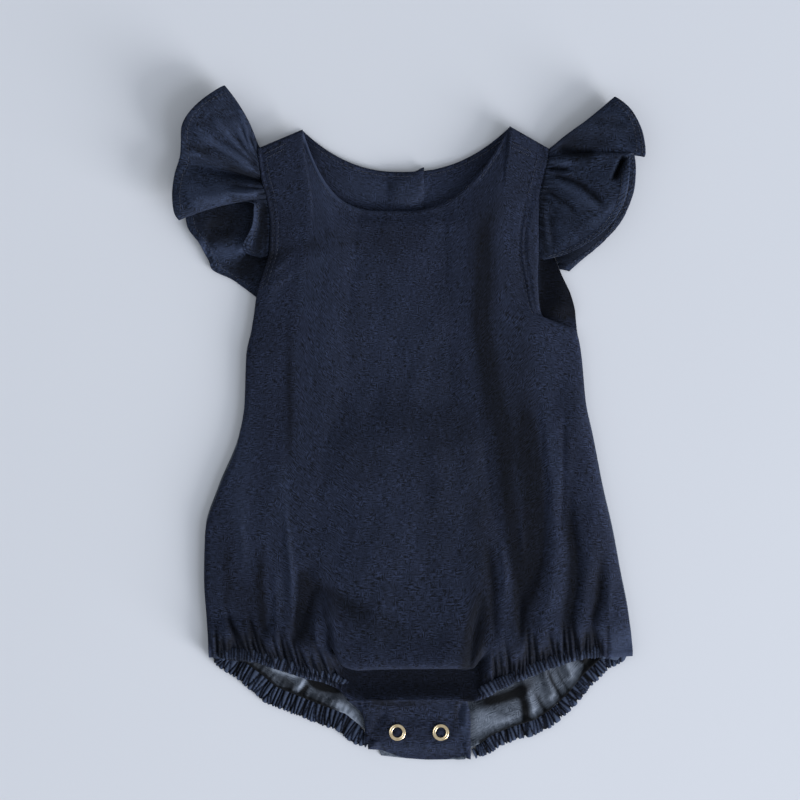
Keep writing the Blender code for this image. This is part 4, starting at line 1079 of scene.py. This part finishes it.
rightSleeve = {
    "column": (rightSide, backRightSide), "outward": 1, "beyond": (0.3, 0.3), "thickness": 0.6, "hem": 5.0,
    "front": (
        (101, 6.0, (79.0, 99.6, 6.6), (80.6, 98.6, 6.6)),
        (106, 6.2, (84.5, 102.5, 7.4), (91.0, 101.0, 7.8)),
        (112, 6.4, (89.5, 107.0, 8.4), (100.5, 105.0, 9.2)),
        (118, 6.6, (94.0, 112.5, 9.8), (109.5, 110.2, 10.8)),
        (124, 6.6, (98.0, 118.5, 11.0), (117.8, 117.0, 12.2)),
        (130, 6.8, (101.5, 125.5, 12.0), (123.8, 124.4, 13.2)),
        (136, 6.8, (104.0, 133.0, 12.6), (128.0, 132.6, 14.0)),
        (141, 7.0, (105.0, 140.0, 12.4), (130.2, 141.5, 14.4)),
        (146, 7.0, (105.5, 147.0, 11.6), (131.2, 150.0, 13.8)),
        (151, 7.0, (106.0, 153.5, 10.8), (131.4, 156.8, 12.8)),
        (156, 6.8, (106.6, 159.6, 10.8), (131.8, 160.8, 12.2)),
        (158.5, 6.2, (107.0, 161.4, 9.6), (134.0, 161.6, 11.8)),
        (160, 4.2, (107.4, 162.6, 8.0), (138.6, 160.0, 11.6)),
        (161, 5.0, (107.6, 165.2, 8.8), (140.6, 160.2, 12.4)),
        (162, 6.2, (109.0, 171.0, 9.4), (140.4, 167.0, 13.0)),
        (163, 6.2, (109.0, 177.0, 10.6), (137.8, 177.5, 13.2)),
        (164, 5.8, (106.5, 180.6, 10.6), (131.6, 188.4, 12.4)),
        (164.8, 4.8, (102.4, 178.6, 9.0), (122.9, 195.4, 9.8)),
    ),
    "back": (
        (163.5, 2.2, (103.0, 175.5, 4.0), (124.5, 190.0, 4.0)),
        (157, 0.8, (106.5, 166.5, 2.2), (131.0, 176.0, 1.2)),
        (146, 0.8, (108.8, 151.8, 3.0), (135.4, 160.0, 1.2)),
        (134, 0.8, (108.8, 137.5, 3.6), (135.8, 148.0, 1.2)),
        (124, 0.8, (107.6, 126.0, 3.8), (133.8, 136.4, 1.2)),
        (114, 0.8, (104.5, 114.0, 3.6), (127.0, 121.5, 1.2)),
        (105, 0.8, (101.0, 105.0, 3.0), (115.4, 108.6, 1.2)),
        (98, 0.8, (96.5, 98.0, 2.0), (103.6, 98.8, 1.2)),
        (93, 0.8, (93.5, 92.5, 1.0), (96.0, 91.8, 1.2)),
    ),
    "creases": (
        (((82.0, 153.4), (88, 152.8), (97, 152.4)), 1.0, 1.2, -3.0, 1.6),
        (((81.5, 156.2), (88, 156.8), (97, 156.4)), 1.6, 1.6, 1.4, 1.5),
        (((80.5, 150.0), (90, 149.8), (99, 148.4)), 1.4, 1.4, 1.2, 1.5),
        (((80.5, 149.2), (90, 148.4), (101, 143.6), (110, 136.4), (117, 129.0)), 1.6, 1.4, -2.6, 1.5),
        (((79.0, 146.0), (89, 144.6), (99, 140.0), (108, 132.8), (114, 127.0)), 1.6, 3.2, 1.3, 1.5),
        (((79.0, 142.0), (86, 137.5), (95, 131.0), (101, 125)), 1.2, 1.2, -1.8, 1.5),
        (((78.5, 137.0), (84, 131.5), (89, 124.5)), 1.2, 1.2, -0.9, 1.5),
        (((79.0, 134.0), (81.0, 120.0), (83.0, 106.5)), 2.4, 1.6, 0.6, 1.6),
        (((82.5, 128.0), (84.5, 117.0), (86.5, 104.5)), 3.4, 1.8, -1.1, 1.6),
        (((128.2, 160.4), (125.4, 153.6), (121.4, 145.0)), 1.8, 1.3, -9.0, 2.2),
        (((88, 166.2), (99, 163.2), (113, 162.2)), 1.8, 2.8, -3.6, 1.6),
        (((108, 182.5), (118, 181.5), (130, 178.5)), 2.5, 3.5, -0.9, 1.8),
    ),
    "shades": (
        (((80.5, 156), (79.6, 130), (80.4, 112), (81.5, 98)), 2.0, 1.8, -0.6, 2.2),
        (((84, 166), (98, 167), (112, 166), (126, 164)), 9.0, 2.5, -0.55, 2.4),
        (((104, 118), (116, 124), (125, 134), (130, 148), (131, 160)), 2.0, 5.0, 0.42, 3.0),
    ),
    "backShades": (),
    "backCreases": (),
}


def sleeveRows(sleeve, half):
    # the root, middle and hem of each spoke, nine numbers a row; the seam lies beyond the body's edge,
    # or is tucked in under it
    column, beyond = (sleeve[key][int(half == "back")] for key in ("column", "beyond"))
    ends = []
    for rootY, rootZ, middle, hem in sleeve[half]:
        rootX = float(readTable(bodyRows, column, rootY)) + sleeve["outward"] * beyond
        ends.append((rootX, rootY, rootZ, *middle, *hem))
    return ends


def sleeveSurface(sleeve):
    front, back = sleeveRows(sleeve, "front"), sleeveRows(sleeve, "back")
    steps = ruffle["steps"]
    rows = throughPoints(front + back, steps)
    isFront = 1 - ease((np.arange(len(rows)) - (len(front) - 1.5) * steps) / (1.5 * steps))[:, None]
    r = np.linspace(0, 1, ruffle["columns"])[None, :, None]
    root, middle, hem = (rows[:, None, k:k + 3] for k in (0, 3, 6))
    surface = 2 * (r - 0.5) * (r - 1) * root + 4 * r * (1 - r) * middle + 2 * r * (r - 0.5) * hem
    x, y = surface[..., 0], surface[..., 1]
    share = r[..., 0]
    inner = ease(share / 0.06)
    relief = creaseField(x, y, sleeve["creases"]) * isFront * inner
    relief += creaseField(x, y, sleeve["backCreases"]) * (1 - isFront) * inner
    relief += ruffle["uneven"] * softNoise(x, y, 13, 12) * inner
    # fine gathers at the seam, fading outwards
    alongRoot = lengthsAlong(rows[:, :3])
    rng = np.random.default_rng(ruffle["seed"])
    at = ruffle["inset"]
    while at < alongRoot[-1] - ruffle["inset"]:
        depth, reach = rng.uniform(*ruffle["depths"]), rng.uniform(*ruffle["reaches"])
        shape = np.exp(-(np.abs(alongRoot - at) / rng.uniform(*ruffle["widths"])) ** 1.5)
        relief -= depth * shape[:, None] * (1 - ease(share / reach))
        at += rng.uniform(*ruffle["spacing"])
    length = np.linalg.norm(np.diff(surface, axis=1), axis=2).sum(1)[:, None]
    hemmed = length > ruffle["leastDepth"]
    fromHem = (1 - share) * length
    turned = 1 - ease((fromHem - sleeve["hem"]) / 0.8)
    # the turned hem is roped a little by its stitching
    alongHem = lengthsAlong(surface[:, -1])[:, None] + 0 * fromHem
    wander = 1.5 * softNoise(alongHem, fromHem, 9, 6)
    roping = ruffle["roping"] * np.sin((alongHem + fromHem * 0.8) * 2.3 + wander)
    stitched = reliefRows(fromHem, ruffle["hemStitches"], roping * turned) * hemmed
    relief += stitched
    surface[..., 2] += relief + ruffle["hemHeight"] * turned * hemmed
    surface[..., 2] = np.maximum(surface[..., 2], sleeve["thickness"] / 2)
    # painted light on the crests and painted shade in the hollows, and the half turned under painted in
    # shade
    wearAndShade = np.clip(0.5 * relief + 0.6 * stitched, -0.9, 0.35) - 0.12
    wearAndShade = wearAndShade - ruffle["underShade"] * (1 - isFront) * (1 - turned)
    wearAndShade = wearAndShade + creaseField(x, y, sleeve["shades"]) * isFront
    wearAndShade = wearAndShade + creaseField(x, y, sleeve["backShades"]) * (1 - isFront)
    # the hem's very edge is paler
    wearAndShade = np.clip(wearAndShade, -0.95, 0.6) + ruffle["hemEdgePale"] * bump(fromHem, 0.7)
    flat = np.stack([share * length, lengthsAlong(surface[:, -1])[:, None] + 0 * fromHem], axis=-1)
    return surface, length, flat, wearAndShade


def makeSleeve(name, sleeve):
    surface, length, flat, wearAndShade = sleeveSurface(sleeve)
    made = clothObject(name, surface.reshape(-1, 3), gridOf(*surface.shape[:2]), flat.reshape(-1, 2),
                       wearAndShade.reshape(-1), [ruffleDenim])
    addWall(made, sleeve["thickness"], offset=0.0)
    print(name, "seam", round(lengthsAlong(surface[:, 0])[-1]), "hem", round(flat[-1, 0, 1]),
          "deepest", round(float(length.max())), "mm")
    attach(made, "root")
    return made, surface, length


sleeveClothLeft, leftSurface, leftLength = makeSleeve("flutterSleeveLeft", leftSleeve)
sleeveClothRight, rightSurface, rightLength = makeSleeve("flutterSleeveRight", rightSleeve)
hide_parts("sleeve_left")
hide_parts("sleeve_right")
print("sleeves:", len(sleeveClothLeft.data.polygons) + len(sleeveClothRight.data.polygons), "faces")


def casingNips(line, lengths, puckers, seed, skipped=20):
    # the front's nips carry on down the band; the back of the band has its own. The band turns over
    # at the side, which is looked for past its first few steps
    rng = np.random.default_rng(seed)
    turn = lengths[skipped + np.argmin(np.abs(line[skipped:, 2] - casing["turnHeight"]))]
    nips = []
    for at, depth, _, _, _ in puckers:
        place = (at, float(readTable(frontHem, hemLevel, at)) + 4)
        away = np.hypot(line[:, 0] - place[0], line[:, 1] - place[1]) + 99 * (lengths > turn - 2)
        nips.append((lengths[np.argmin(away)], 0.6 + 0.6 * depth, rng.uniform(0.5, 0.75), 0.0))
    at = turn + 1
    while at < lengths[-1] - 1:
        nips.append((at, *(rng.uniform(*casing[key]) for key in ("depths", "widths", "leans"))))
        at += casing["pitch"] * rng.uniform(*casing["spacing"])
    return nips, turn


def levelAcross(ahead):
    # a level axis across the band all the way, which turns over smoothly at the side
    wide = np.zeros_like(ahead)
    for i, forward in enumerate(ahead):
        level = np.cross((0, 0, 1), forward)
        size = np.linalg.norm(level)
        if i == 0:
            wide[0] = level / size
        elif size > 0.5:
            wide[i] = level / size * math.copysign(1, level @ wide[i - 1])
        else:
            across = wide[i - 1] - forward * (forward @ wide[i - 1])
            wide[i] = across / np.linalg.norm(across)
    return wide


def makeCasing(name, side, puckers, seed):
    stops = [(x, y, max(z, casing["thick"] / 2)) for x, y, z in casing[side]]
    smooth = throughPoints(stops, 40)
    lengths = lengthsAlong(smooth)
    at = np.arange(0, lengths[-1], casing["step"])
    line = np.stack([np.interp(at, lengths, smooth[:, k]) for k in range(3)], axis=-1)
    nips, turn = casingNips(line, at, puckers, seed)
    ahead = np.gradient(line, axis=0)
    ahead /= np.linalg.norm(ahead, axis=1, keepdims=True)
    wide = levelAcross(ahead)
    thick = np.cross(ahead, wide)
    theta = np.linspace(0, 2 * math.pi, casing["ring"], endpoint=False)[None, :]
    acrossShare, upShare = (np.sign(part) * np.abs(part) ** casing["squared"]
                            for part in (np.cos(theta), np.sin(theta)))
    place, left = at[:, None], at[-1] - at[:, None]
    # which way round the ring the leg opening is, seen near the line's end
    towardsLeg = math.copysign(1, wide[-20][1]) * acrossShare
    relief = np.zeros((len(at), casing["ring"]))
    for nip, depth, width, lean in nips:
        off = np.abs(place - nip - lean * (towardsLeg * casing["width"] / 2))
        relief -= depth * np.exp(-((off / width) ** 1.6))
    rng = np.random.default_rng(seed + 1)
    knots = np.arange(0, at[-1] + 4, casing["knots"])
    swell = [np.interp(at, knots, rng.uniform(*casing["knotSwell"], len(knots)))[:, None]
             for _ in range(2)]
    onBack = ramp(place, turn, 4)
    relief = mix(*casing["relief"], onBack) * (relief + casing["standing"])
    narrow = 1 - casing["endNarrow"] * (1 - ease(left / casing["endReach"]))
    narrow = narrow - casing["frontNarrow"] * (1 - onBack)
    edges = np.where(acrossShare > 0, swell[0], swell[1]) * np.abs(acrossShare)
    # the band's inner lap, bunched in with it, widens it towards the leg opening
    lap = casing["lap"][side] * np.clip(towardsLeg, 0, 1) * onBack * ease(left / casing["lapReach"])
    halfWide = casing["width"] / 2 * narrow + relief * casing["widening"] + edges + lap
    halfThick = casing["thick"] / 2 * narrow + relief * casing["thickening"]
    points = (line[:, None, :] + wide[:, None, :] * (acrossShare * halfWide)[..., None]
              + thick[:, None, :] * (upShare * halfThick)[..., None])
    points[..., 2] = np.maximum(points[..., 2], 0.0)
    count, ring = points.shape[:2]
    faces = [(r * ring + k, r * ring + (k + 1) % ring, (r + 1) * ring + (k + 1) % ring, (r + 1) * ring + k)
             for r in range(count - 1) for k in range(ring)]
    faces.append(tuple(range(ring - 1, -1, -1)))
    faces.append(tuple((count - 1) * ring + k for k in range(ring)))
    across = np.abs(np.linspace(-casing["flatHalf"], casing["flatHalf"], ring))[None, :]
    flat = np.stack([place * casing["gathered"] * np.ones((1, ring)), across * np.ones((count, 1))],
                    axis=-1)
    # crests paler and nips darker: partly wear, partly painted light and shade
    wearAndShade = np.clip(relief * casing["fade"], -1.0, 0.65)
    made = clothObject(name, points.reshape(-1, 3), faces, flat.reshape(-1, 2), wearAndShade.reshape(-1),
                       [casingDenim])
    pickOnly(made)
    bpy.ops.object.mode_set(mode="EDIT")
    bpy.ops.mesh.select_all(action="SELECT")
    bpy.ops.mesh.normals_make_consistent(inside=False)
    bpy.ops.object.mode_set(mode="OBJECT")
    addWall(made, casing["wall"])
    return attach(made, "root"), at[-1]


casingClothLeft, casingLengthLeft = makeCasing("legCasingClothLeft", "left", leftPuckers, 41)
casingClothRight, casingLengthRight = makeCasing("legCasingClothRight", "right", rightPuckers, 57)
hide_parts("leg_casing_left")
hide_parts("leg_casing_right")
print("leg casings:", round(casingLengthLeft), "and", round(casingLengthRight), "mm round each leg")


# each tab's rows: level, left and right edge, underside; the back tab's lower edge also sags, by so
# much at each x
crotchTabs = {
    "front": ((-190.4, -26.2, 36.6, 4.1), (-184.0, -26.4, 36.8, 4.1), (-177.5, -26.8, 36.9, 4.1),
              (-172.0, -29.0, 36.4, 4.6), (-167.5, -33.6, 35.4, 5.4), (-163.8, -37.4, 34.4, 6.4)),
    "back": ((-200.0, -24.5, 37.0, 1.2), (-190.0, -25.5, 37.0, 1.4), (-184.0, -24.0, 36.0, 1.4),
             (-168.0, -17.5, 32.5, 1.4)),
    "backEdge": ((-26, 5.6), (-19, 5.2), (-11, 2.9), (-5, 0.8), (3, -0.4), (13, -0.9), (28, -0.6),
                 (33, 0.1), (38, -0.6)),
    "frontThickness": 1.1, "backThickness": 1.0, "round": 1.1, "roundReach": 0.8, "uneven": 0.2,
    "grid": (90, 64),
    # the back tab: how far in its edge sags, its swell below the front tab's edge and its dip under
    # it, and its climb over the ends of both casings
    "sagReach": 16, "swell": 2.4, "swellReach": 8.5, "dip": (188.4, 1.2),
    "climb": 1.9, "leftClimb": (17, 4), "rightClimb": (33, 3), "climbFoot": (185, 6),
    # the front tab's stitched groove, and round each snap: the flat, the cloth pushed up through its
    # ring, and the dent outside it
    "groove": ((2.4, -0.15, 0.4),), "snapFlat": (5, 3), "snapCrown": 0.75, "snapRadius": 2.3,
    "snapDent": ((6.0, -0.1, 1.2),),
    "frontCreases": (
        (((-34, -161), (-31, -166), (-29, -172)), 1.0, 1.0, -1.2, 1.5),
        (((-30, -161), (-27.5, -165), (-26, -170)), 0.9, 0.9, -1.0, 1.5),
        (((-26, -160), (-22, -163.5), (-14, -164.6), (-2, -164)), 1.0, 1.6, 0.9, 1.5),
        (((-20, -165), (-14, -167), (-9, -170)), 1.2, 1.5, 0.8, 1.5),
        (((33.5, -164), (31.0, -169), (30.0, -174), (31.0, -181)), 2.0, 1.3, -1.6, 1.6),
        (((34.5, -168), (34.0, -176), (34.6, -184)), 1.6, 1.4, 0.6, 1.5),
        (((-14.4, -177), (-14.2, -182), (-14.6, -187)), 0.8, 1.4, 0.5, 1.4),
        (((-24, -187), (-19, -178), (-13, -171)), 2.0, 3.0, -0.8, 1.7),
        (((2, -182), (8, -180.6), (14, -180.2)), 0.8, 0.8, 0.4, 1.5),
    ),
    # painted shade, and painted light where it is paler
    "frontShades": (
        (((-40, -162), (-28, -164.5), (-15, -166.5), (2, -166.5), (16, -164)), 5.0, 2.6, -0.8, 2.6),
        (((-34, -161), (-24, -163.2), (-12, -163.6)), 0.5, 0.5, 0.45, 2.0),
        (((-34, -165), (-25, -167), (-12, -169)), 0.5, 0.5, 0.4, 2.0),
        (((30.5, -160), (28.2, -168), (27.6, -176), (29.4, -190)), 1.8, 1.6, -0.65, 2.2),
        (((34, -162), (33.2, -172), (33.4, -182), (35, -194)), 2.2, 2.2, 0.3, 2.4),
        (((-22, -160), (-17, -174), (-22, -194)), 3.0, 4.0, -0.25, 2.0),
    ),
    "backShades": (
        (((-30, -190), (-10, -192), (12, -192), (40, -190)), 3.0, 5.0, 0.1, 2.0),
    ),
}
snapSpots = [tuple(middleOf(node) / mm)[:2] for node in ("snap_cap_left", "snap_cap_right")]


def tabSurface(half, u, v):
    rows, thickness = crotchTabs[half], crotchTabs[half + "Thickness"]
    low, high = rows[0][0], rows[-1][0]
    y = mix(low, high, v)
    left, right, under = (readTable(rows, k, y) for k in (1, 2, 3))
    x = mix(left, right, u)
    edge = np.maximum(np.minimum(np.minimum(x - left, right - x), y - low), 0)
    reach = crotchTabs["roundReach"]
    height = under + thickness - crotchTabs["round"] * reach * np.exp(-((edge / reach) ** 1.5))
    height = height + crotchTabs["uneven"] * softNoise(x, y, 11, 17) * ease(edge / 4)
    if half == "back":
        sag = readTable(crotchTabs["backEdge"], 1, x)
        y = y + sag * (1 - ramp(y, low, crotchTabs["sagReach"]))
        climb = ramp(-x, *crotchTabs["leftClimb"]) + ramp(x, *crotchTabs["rightClimb"])
        climb = crotchTabs["climb"] * climb * ramp(-y, *crotchTabs["climbFoot"])
        swell = crotchTabs["swell"] * ramp(y, low, crotchTabs["swellReach"])
        swell = swell * ramp(-y, *crotchTabs["dip"]) * ramp(edge, 0.5, 3)
        return np.stack([x, y, height + swell + climb], axis=-1)
    height = reliefRows(edge, crotchTabs["groove"], height)
    height = height + creaseField(x, y, crotchTabs["frontCreases"])
    for spotX, spotY in snapSpots:
        off = np.hypot(x - spotX, y - spotY)
        height = mix(height, rows[0][3] + thickness, 1 - ramp(off, *crotchTabs["snapFlat"]))
        height = height + crotchTabs["snapCrown"] * np.exp(-((off / crotchTabs["snapRadius"]) ** 4))
        height = reliefRows(off, crotchTabs["snapDent"], height)
    return np.stack([x, y, height], axis=-1)


def makeTab(name, half):
    columns, rows = crotchTabs["grid"]
    u, v = np.meshgrid(np.linspace(0, 1, columns), np.linspace(0, 1, rows))
    points = tabSurface(half, u, v).reshape(-1, 3)
    wearAndShade = np.clip(creaseField(points[:, 0], points[:, 1], crotchTabs[half + "Shades"]), -0.9, 0.5)
    made = clothObject(name, points, gridOf(rows, columns), points[:, :2] + (0, 600), wearAndShade,
                       [indigoDenim])
    addWall(made, crotchTabs[half + "Thickness"])
    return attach(made, "root")


frontTabCloth = makeTab("crotchTabFrontCloth", "front")
backTabCloth = makeTab("crotchTabBackCloth", "back")
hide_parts("crotch_tab_front")
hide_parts("crotch_tab_back")
print("crotch tabs made")


def startEditing(name):
    # the shape just added, named and open for editing
    made = bpy.context.object
    made.name = made.data.name = name
    bpy.ops.object.mode_set(mode="EDIT")
    bpy.ops.mesh.select_mode(type="FACE")
    return made


def insetFacing(made, up, steps, least=0.9):
    # insets the faces that look up (1) or down (-1), each step by a width and a depth
    bpy.ops.object.mode_set(mode="OBJECT")
    for face in made.data.polygons:
        face.select = face.normal.z * up > least
    bpy.ops.object.mode_set(mode="EDIT")
    for width, depth in steps:
        bpy.ops.mesh.inset(thickness=width * mm, depth=depth * mm)


def roundEdges(made, width, segments):
    bpy.ops.object.mode_set(mode="OBJECT")
    rim = made.modifiers.new("rim", "BEVEL")
    rim.width, rim.segments, rim.limit_method = width * mm, segments, "ANGLE"
    applyLast(made)


def settle(made, node, material):
    # ends the editing with the piece's place in its mesh and its object at the origin
    bpy.ops.object.mode_set(mode="OBJECT")
    bpy.ops.object.shade_smooth_by_angle(angle=math.radians(35))
    made.data.materials.append(material)
    made.location = Vector(middleOf(node) / mm) * mm
    bpy.ops.object.transform_apply(location=True, rotation=True, scale=True)
    made.select_set(False)
    return made


def copyOf(source, name, fromNode, toNode):
    made = source.copy()
    made.data = source.data.copy()
    made.name = made.data.name = name
    made.data.transform(Matrix.Translation(middleOf(toNode) - middleOf(fromNode)))
    bpy.context.scene.collection.objects.link(made)
    return made


# a ring of pressed brass: the crown is a narrow land, raised a little, and the foot is drawn in
snapCap = {"radius": 4.0, "wire": 1.05, "flatten": 0.62, "land": ((0.12, 0.07),), "foot": 0.6}


def makeSnapCap(name, node):
    bpy.ops.mesh.primitive_torus_add(major_radius=snapCap["radius"] * mm,
                                     minor_radius=snapCap["wire"] * mm,
                                     major_segments=56, minor_segments=18)
    made = startEditing(name)
    bpy.ops.mesh.select_all(action="SELECT")
    bpy.ops.transform.resize(value=(1, 1, snapCap["flatten"]))
    insetFacing(made, 1, snapCap["land"], least=0.93)
    insetFacing(made, -1, ())
    bpy.ops.transform.resize(value=(1, 1, snapCap["foot"]))
    bpy.ops.object.mode_set(mode="OBJECT")
    smooth = made.modifiers.new("smooth", "SUBSURF")
    smooth.levels = smooth.render_levels = 1
    applyLast(made)
    return settle(made, node, paleGoldPlate)


# the socket half under the tab: a dished cup with a raised rim round its mouth
snapStud = {"radius": 4.0, "thick": 1.0, "mouth": ((0.9, 0.0), (0.35, 0.12), (0.4, -0.55)),
            "under": ((1.4, 0.0), (0.4, -0.3)), "rounding": 0.15}


def makeSnapStud(name, node):
    bpy.ops.mesh.primitive_cylinder_add(vertices=40, radius=snapStud["radius"] * mm,
                                        depth=snapStud["thick"] * mm)
    made = startEditing(name)
    insetFacing(made, 1, snapStud["mouth"])
    insetFacing(made, -1, snapStud["under"])
    roundEdges(made, snapStud["rounding"], 2)
    return settle(made, node, paleGoldPlate)


# four holes through a dished middle, inside a rounded rim; its face looks down at the table
button = {"radius": 5.5, "thick": 1.5, "face": ((1.1, 0.0), (0.5, -0.45)), "rounding": 0.3,
          "hole": 0.75, "holeSpacing": 1.35, "drill": 6}


def makeButton(name, node):
    bpy.ops.mesh.primitive_cylinder_add(vertices=56, radius=button["radius"] * mm,
                                        depth=button["thick"] * mm)
    made = startEditing(name)
    insetFacing(made, -1, button["face"])
    roundEdges(made, button["rounding"], 3)
    for corner in ((-1, -1), (-1, 1), (1, -1), (1, 1)):
        spot = [side * button["holeSpacing"] * mm for side in corner]
        bpy.ops.mesh.primitive_cylinder_add(vertices=20, radius=button["hole"] * mm,
                                            depth=button["drill"] * mm, location=(*spot, 0))
        drill = bpy.context.object
        bpy.context.view_layer.objects.active = made
        cut = made.modifiers.new("hole", "BOOLEAN")
        cut.object, cut.operation = drill, "DIFFERENCE"
        applyLast(made)
        bpy.data.objects.remove(drill)
    made.select_set(True)
    return settle(made, node, navyButtonResin)


bpy.ops.object.select_all(action="DESELECT")
snapCapLeft = makeSnapCap("snapCapLeft", "snap_cap_left")
snapCapRight = copyOf(snapCapLeft, "snapCapRight", "snap_cap_left", "snap_cap_right")
snapStudLeft = makeSnapStud("snapStudLeft", "snap_stud_left")
snapStudRight = copyOf(snapStudLeft, "snapStudRight", "snap_stud_left", "snap_stud_right")
buttonUpper = makeButton("buttonUpper", "button_upper")
buttonLower = copyOf(buttonUpper, "buttonLower", "button_upper", "button_lower")
for piece, cadNode, slot in (
        (snapCapLeft, "snap_cap_left", "gold_plate"), (snapCapRight, "snap_cap_right", "gold_plate"),
        (snapStudLeft, "snap_stud_left", "gold_plate"), (snapStudRight, "snap_stud_right", "gold_plate"),
        (buttonUpper, "button_upper", "button_resin"), (buttonLower, "button_lower", "button_resin")):
    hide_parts(cadNode)
    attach(piece, "root")
print("snaps and buttons made")


threadClear = (0, 0, 0.1)  # from a panel's face to the middle of the stitches on it


def onFront(places, rounds=25, width=170):
    # points on the front's outer face over places given as x and y, just clear of the cloth
    x, y = np.array(places, float).T
    u, v = np.full(len(x), 0.5), np.full(len(x), 0.5)
    for _ in range(rounds):
        u = np.clip(u + (x - acrossBody(u, mix(lowLevel, topLevel, v))[0]) / width, 0, 1)
        hemY = readTable(frontHem, hemLevel, acrossHem(u))
        v = np.clip((y - hemY) / (topEdge(acrossTop(u), frontNeck) - hemY), 0, 1)
    return frontSurface(u, v) + threadClear


def armholeLine(column, inset, low, high):
    ys = np.arange(low, high, 1.0)
    inward = 1 if column == leftSide else -1
    inset = inset + (rightSeamDrift(ys) if column == rightSide else 0)
    return onFront(np.stack([readTable(bodyRows, column, ys) + inward * inset, ys], axis=-1))


def tackLine(x, y, rise, count):
    # a zigzag of small stitches across a shoulder, climbing or falling
    return onFront([(x + k * 0.5, y + rise * (k * 0.24) + rise * 0.7 * (k % 4 // 2))
                    for k in range(count)])


def neckLine(neck, inset, surfaceOf, low, high):
    # along a neckline, square to it at that distance below
    topX = np.linspace(low, high, 150)
    return surfaceOf(topX, inset * neckSlant(topX, neck))


def frontBelowNeck(topX, drop):
    u = shareOfTop(topX)
    hemY = readTable(frontHem, hemLevel, acrossHem(u))
    return frontSurface(u, 1 - drop / (topEdge(topX, frontNeck) - hemY)) + threadClear


def backBelowNeck(sign, columns=400):
    def surfaceOf(topX, drop):
        us = np.linspace(0, 1, columns)
        found = []
        for x, fall in zip(topX, drop):
            spots = backSurface(sign, us, np.full(columns, 1 - fall / backPanels["flatHigh"]))
            found.append(spots[np.argmin(np.abs(spots[:, 0] - x))] + threadClear)
        return np.array(found)
    return surfaceOf


def alongHem(surface, length, inset, first, last):
    # along a sleeve's hem at that distance from its edge, clear of half its thickness
    columns = surface.shape[1]
    line = []
    for row, rowLength in list(zip(surface, length[:, 0]))[first:last]:
        spot = (1 - inset / max(rowLength, ruffle["leastDepth"])) * (columns - 1)
        k = min(int(spot), columns - 2)
        line.append(mix(row[k], row[k + 1], spot - k) + (0, 0, 0.36))
    return np.array(line)


def hemLines(surface, length, sleeve, insets, first, skipped=4):
    # rows of stitches along a sleeve's hem, on its front half and then on its back half
    turn = (len(sleeve["front"]) - 1) * ruffle["steps"]
    return [alongHem(surface, length, inset, low, high)
            for low, high in ((first, turn), (turn + skipped, -skipped)) for inset in insets]


frontStitches = threadObject("frontStitches", [
    armholeLine(leftSide, 2.7, 80, 163), armholeLine(leftSide, 5.0, 82, 162),
    armholeLine(rightSide, 3.2, 68, 161), armholeLine(rightSide, 6.4, 66, 160),
    neckLine(frontNeck, 2.4, frontBelowNeck, -61.5, 58.5),
], stitching)
tackStitches = threadObject("shoulderTacks", [
    tackLine(-86, 161.5, 1, 28), tackLine(-85, 159.0, 1, 24),
    tackLine(61.5, 168.5, -1, 26), tackLine(61.0, 166.0, -1, 24),
], tackStitching)
backStitches = threadObject("backNeckStitches", [
    neckLine(backNeck, 2.8, backBelowNeck(-1), -58, 5.5),
    neckLine(backNeck, 2.8, backBelowNeck(1), 11, 56),
], stitching)
leftSleeveStitches = threadObject("sleeveStitchesLeft", hemLines(
    leftSurface, leftLength, leftSleeve, (4.4,), 6), stitching)
rightSleeveStitches = threadObject("sleeveStitchesRight", hemLines(
    rightSurface, rightLength, rightSleeve, (1.6, 4.4), 4), stitching)
print("stitching made")


def makeFloor():
    bpy.ops.object.select_all(action="DESELECT")
    bpy.ops.mesh.primitive_plane_add(size=8.0, location=(0, 0, -0.3 * mm))
    floor = bpy.context.object
    floor.name = floor.data.name = "floorBoard"
    bpy.ops.object.transform_apply(location=True)
    floor.data.materials.append(mattWhitePaint)
    floor.select_set(False)


def addArea(name, place, size, power, colour):
    # a round soft light, turned to the middle
    light = bpy.data.lights.new(name, "AREA")
    light.shape, light.size, light.energy = "DISK", size, power
    light.color = linear(colour)[:3]
    made = inScene(name, light)
    made.location = place
    made.rotation_euler = (-Vector(place)).to_track_quat("-Z", "Y").to_euler()


# places and sizes in metres
studio = {
    "lights": (("windowKey", (5.2, -4.0, 1.6), 3.6, 600.0, "#f4f7ff"),
               ("skyFill", (3.4, -2.6, 3.4), 3.6, 112.0, "#e6eeff")),
    "air": "#d3dae4", "airStrength": 0.67,
}
makeFloor()
for lamp in studio["lights"]:
    addArea(*lamp)
world = bpy.data.worlds.new("studioAir")
bpy.context.scene.world = world
world.use_nodes = True
background = world.node_tree.nodes["Background"]
background.inputs["Color"].default_value = linear(studio["air"])
background.inputs["Strength"].default_value = studio["airStrength"]

viewFrom = {"place": (-5.4, 14.7, 1600.0), "lens": 120.0, "sensor": 36.0, "clip": (0.05, 50.0)}
camera = bpy.data.cameras.new("overheadCamera")
camera.lens, camera.sensor_width = viewFrom["lens"], viewFrom["sensor"]
camera.clip_start, camera.clip_end = viewFrom["clip"]
cameraObject = inScene("overheadCamera", camera)
cameraObject.location = [place * mm for place in viewFrom["place"]]
bpy.context.scene.camera = cameraObject
bpy.context.scene.view_settings.view_transform = "Standard"
bpy.context.scene.view_settings.look = "None"
print("floor, lights and camera placed")
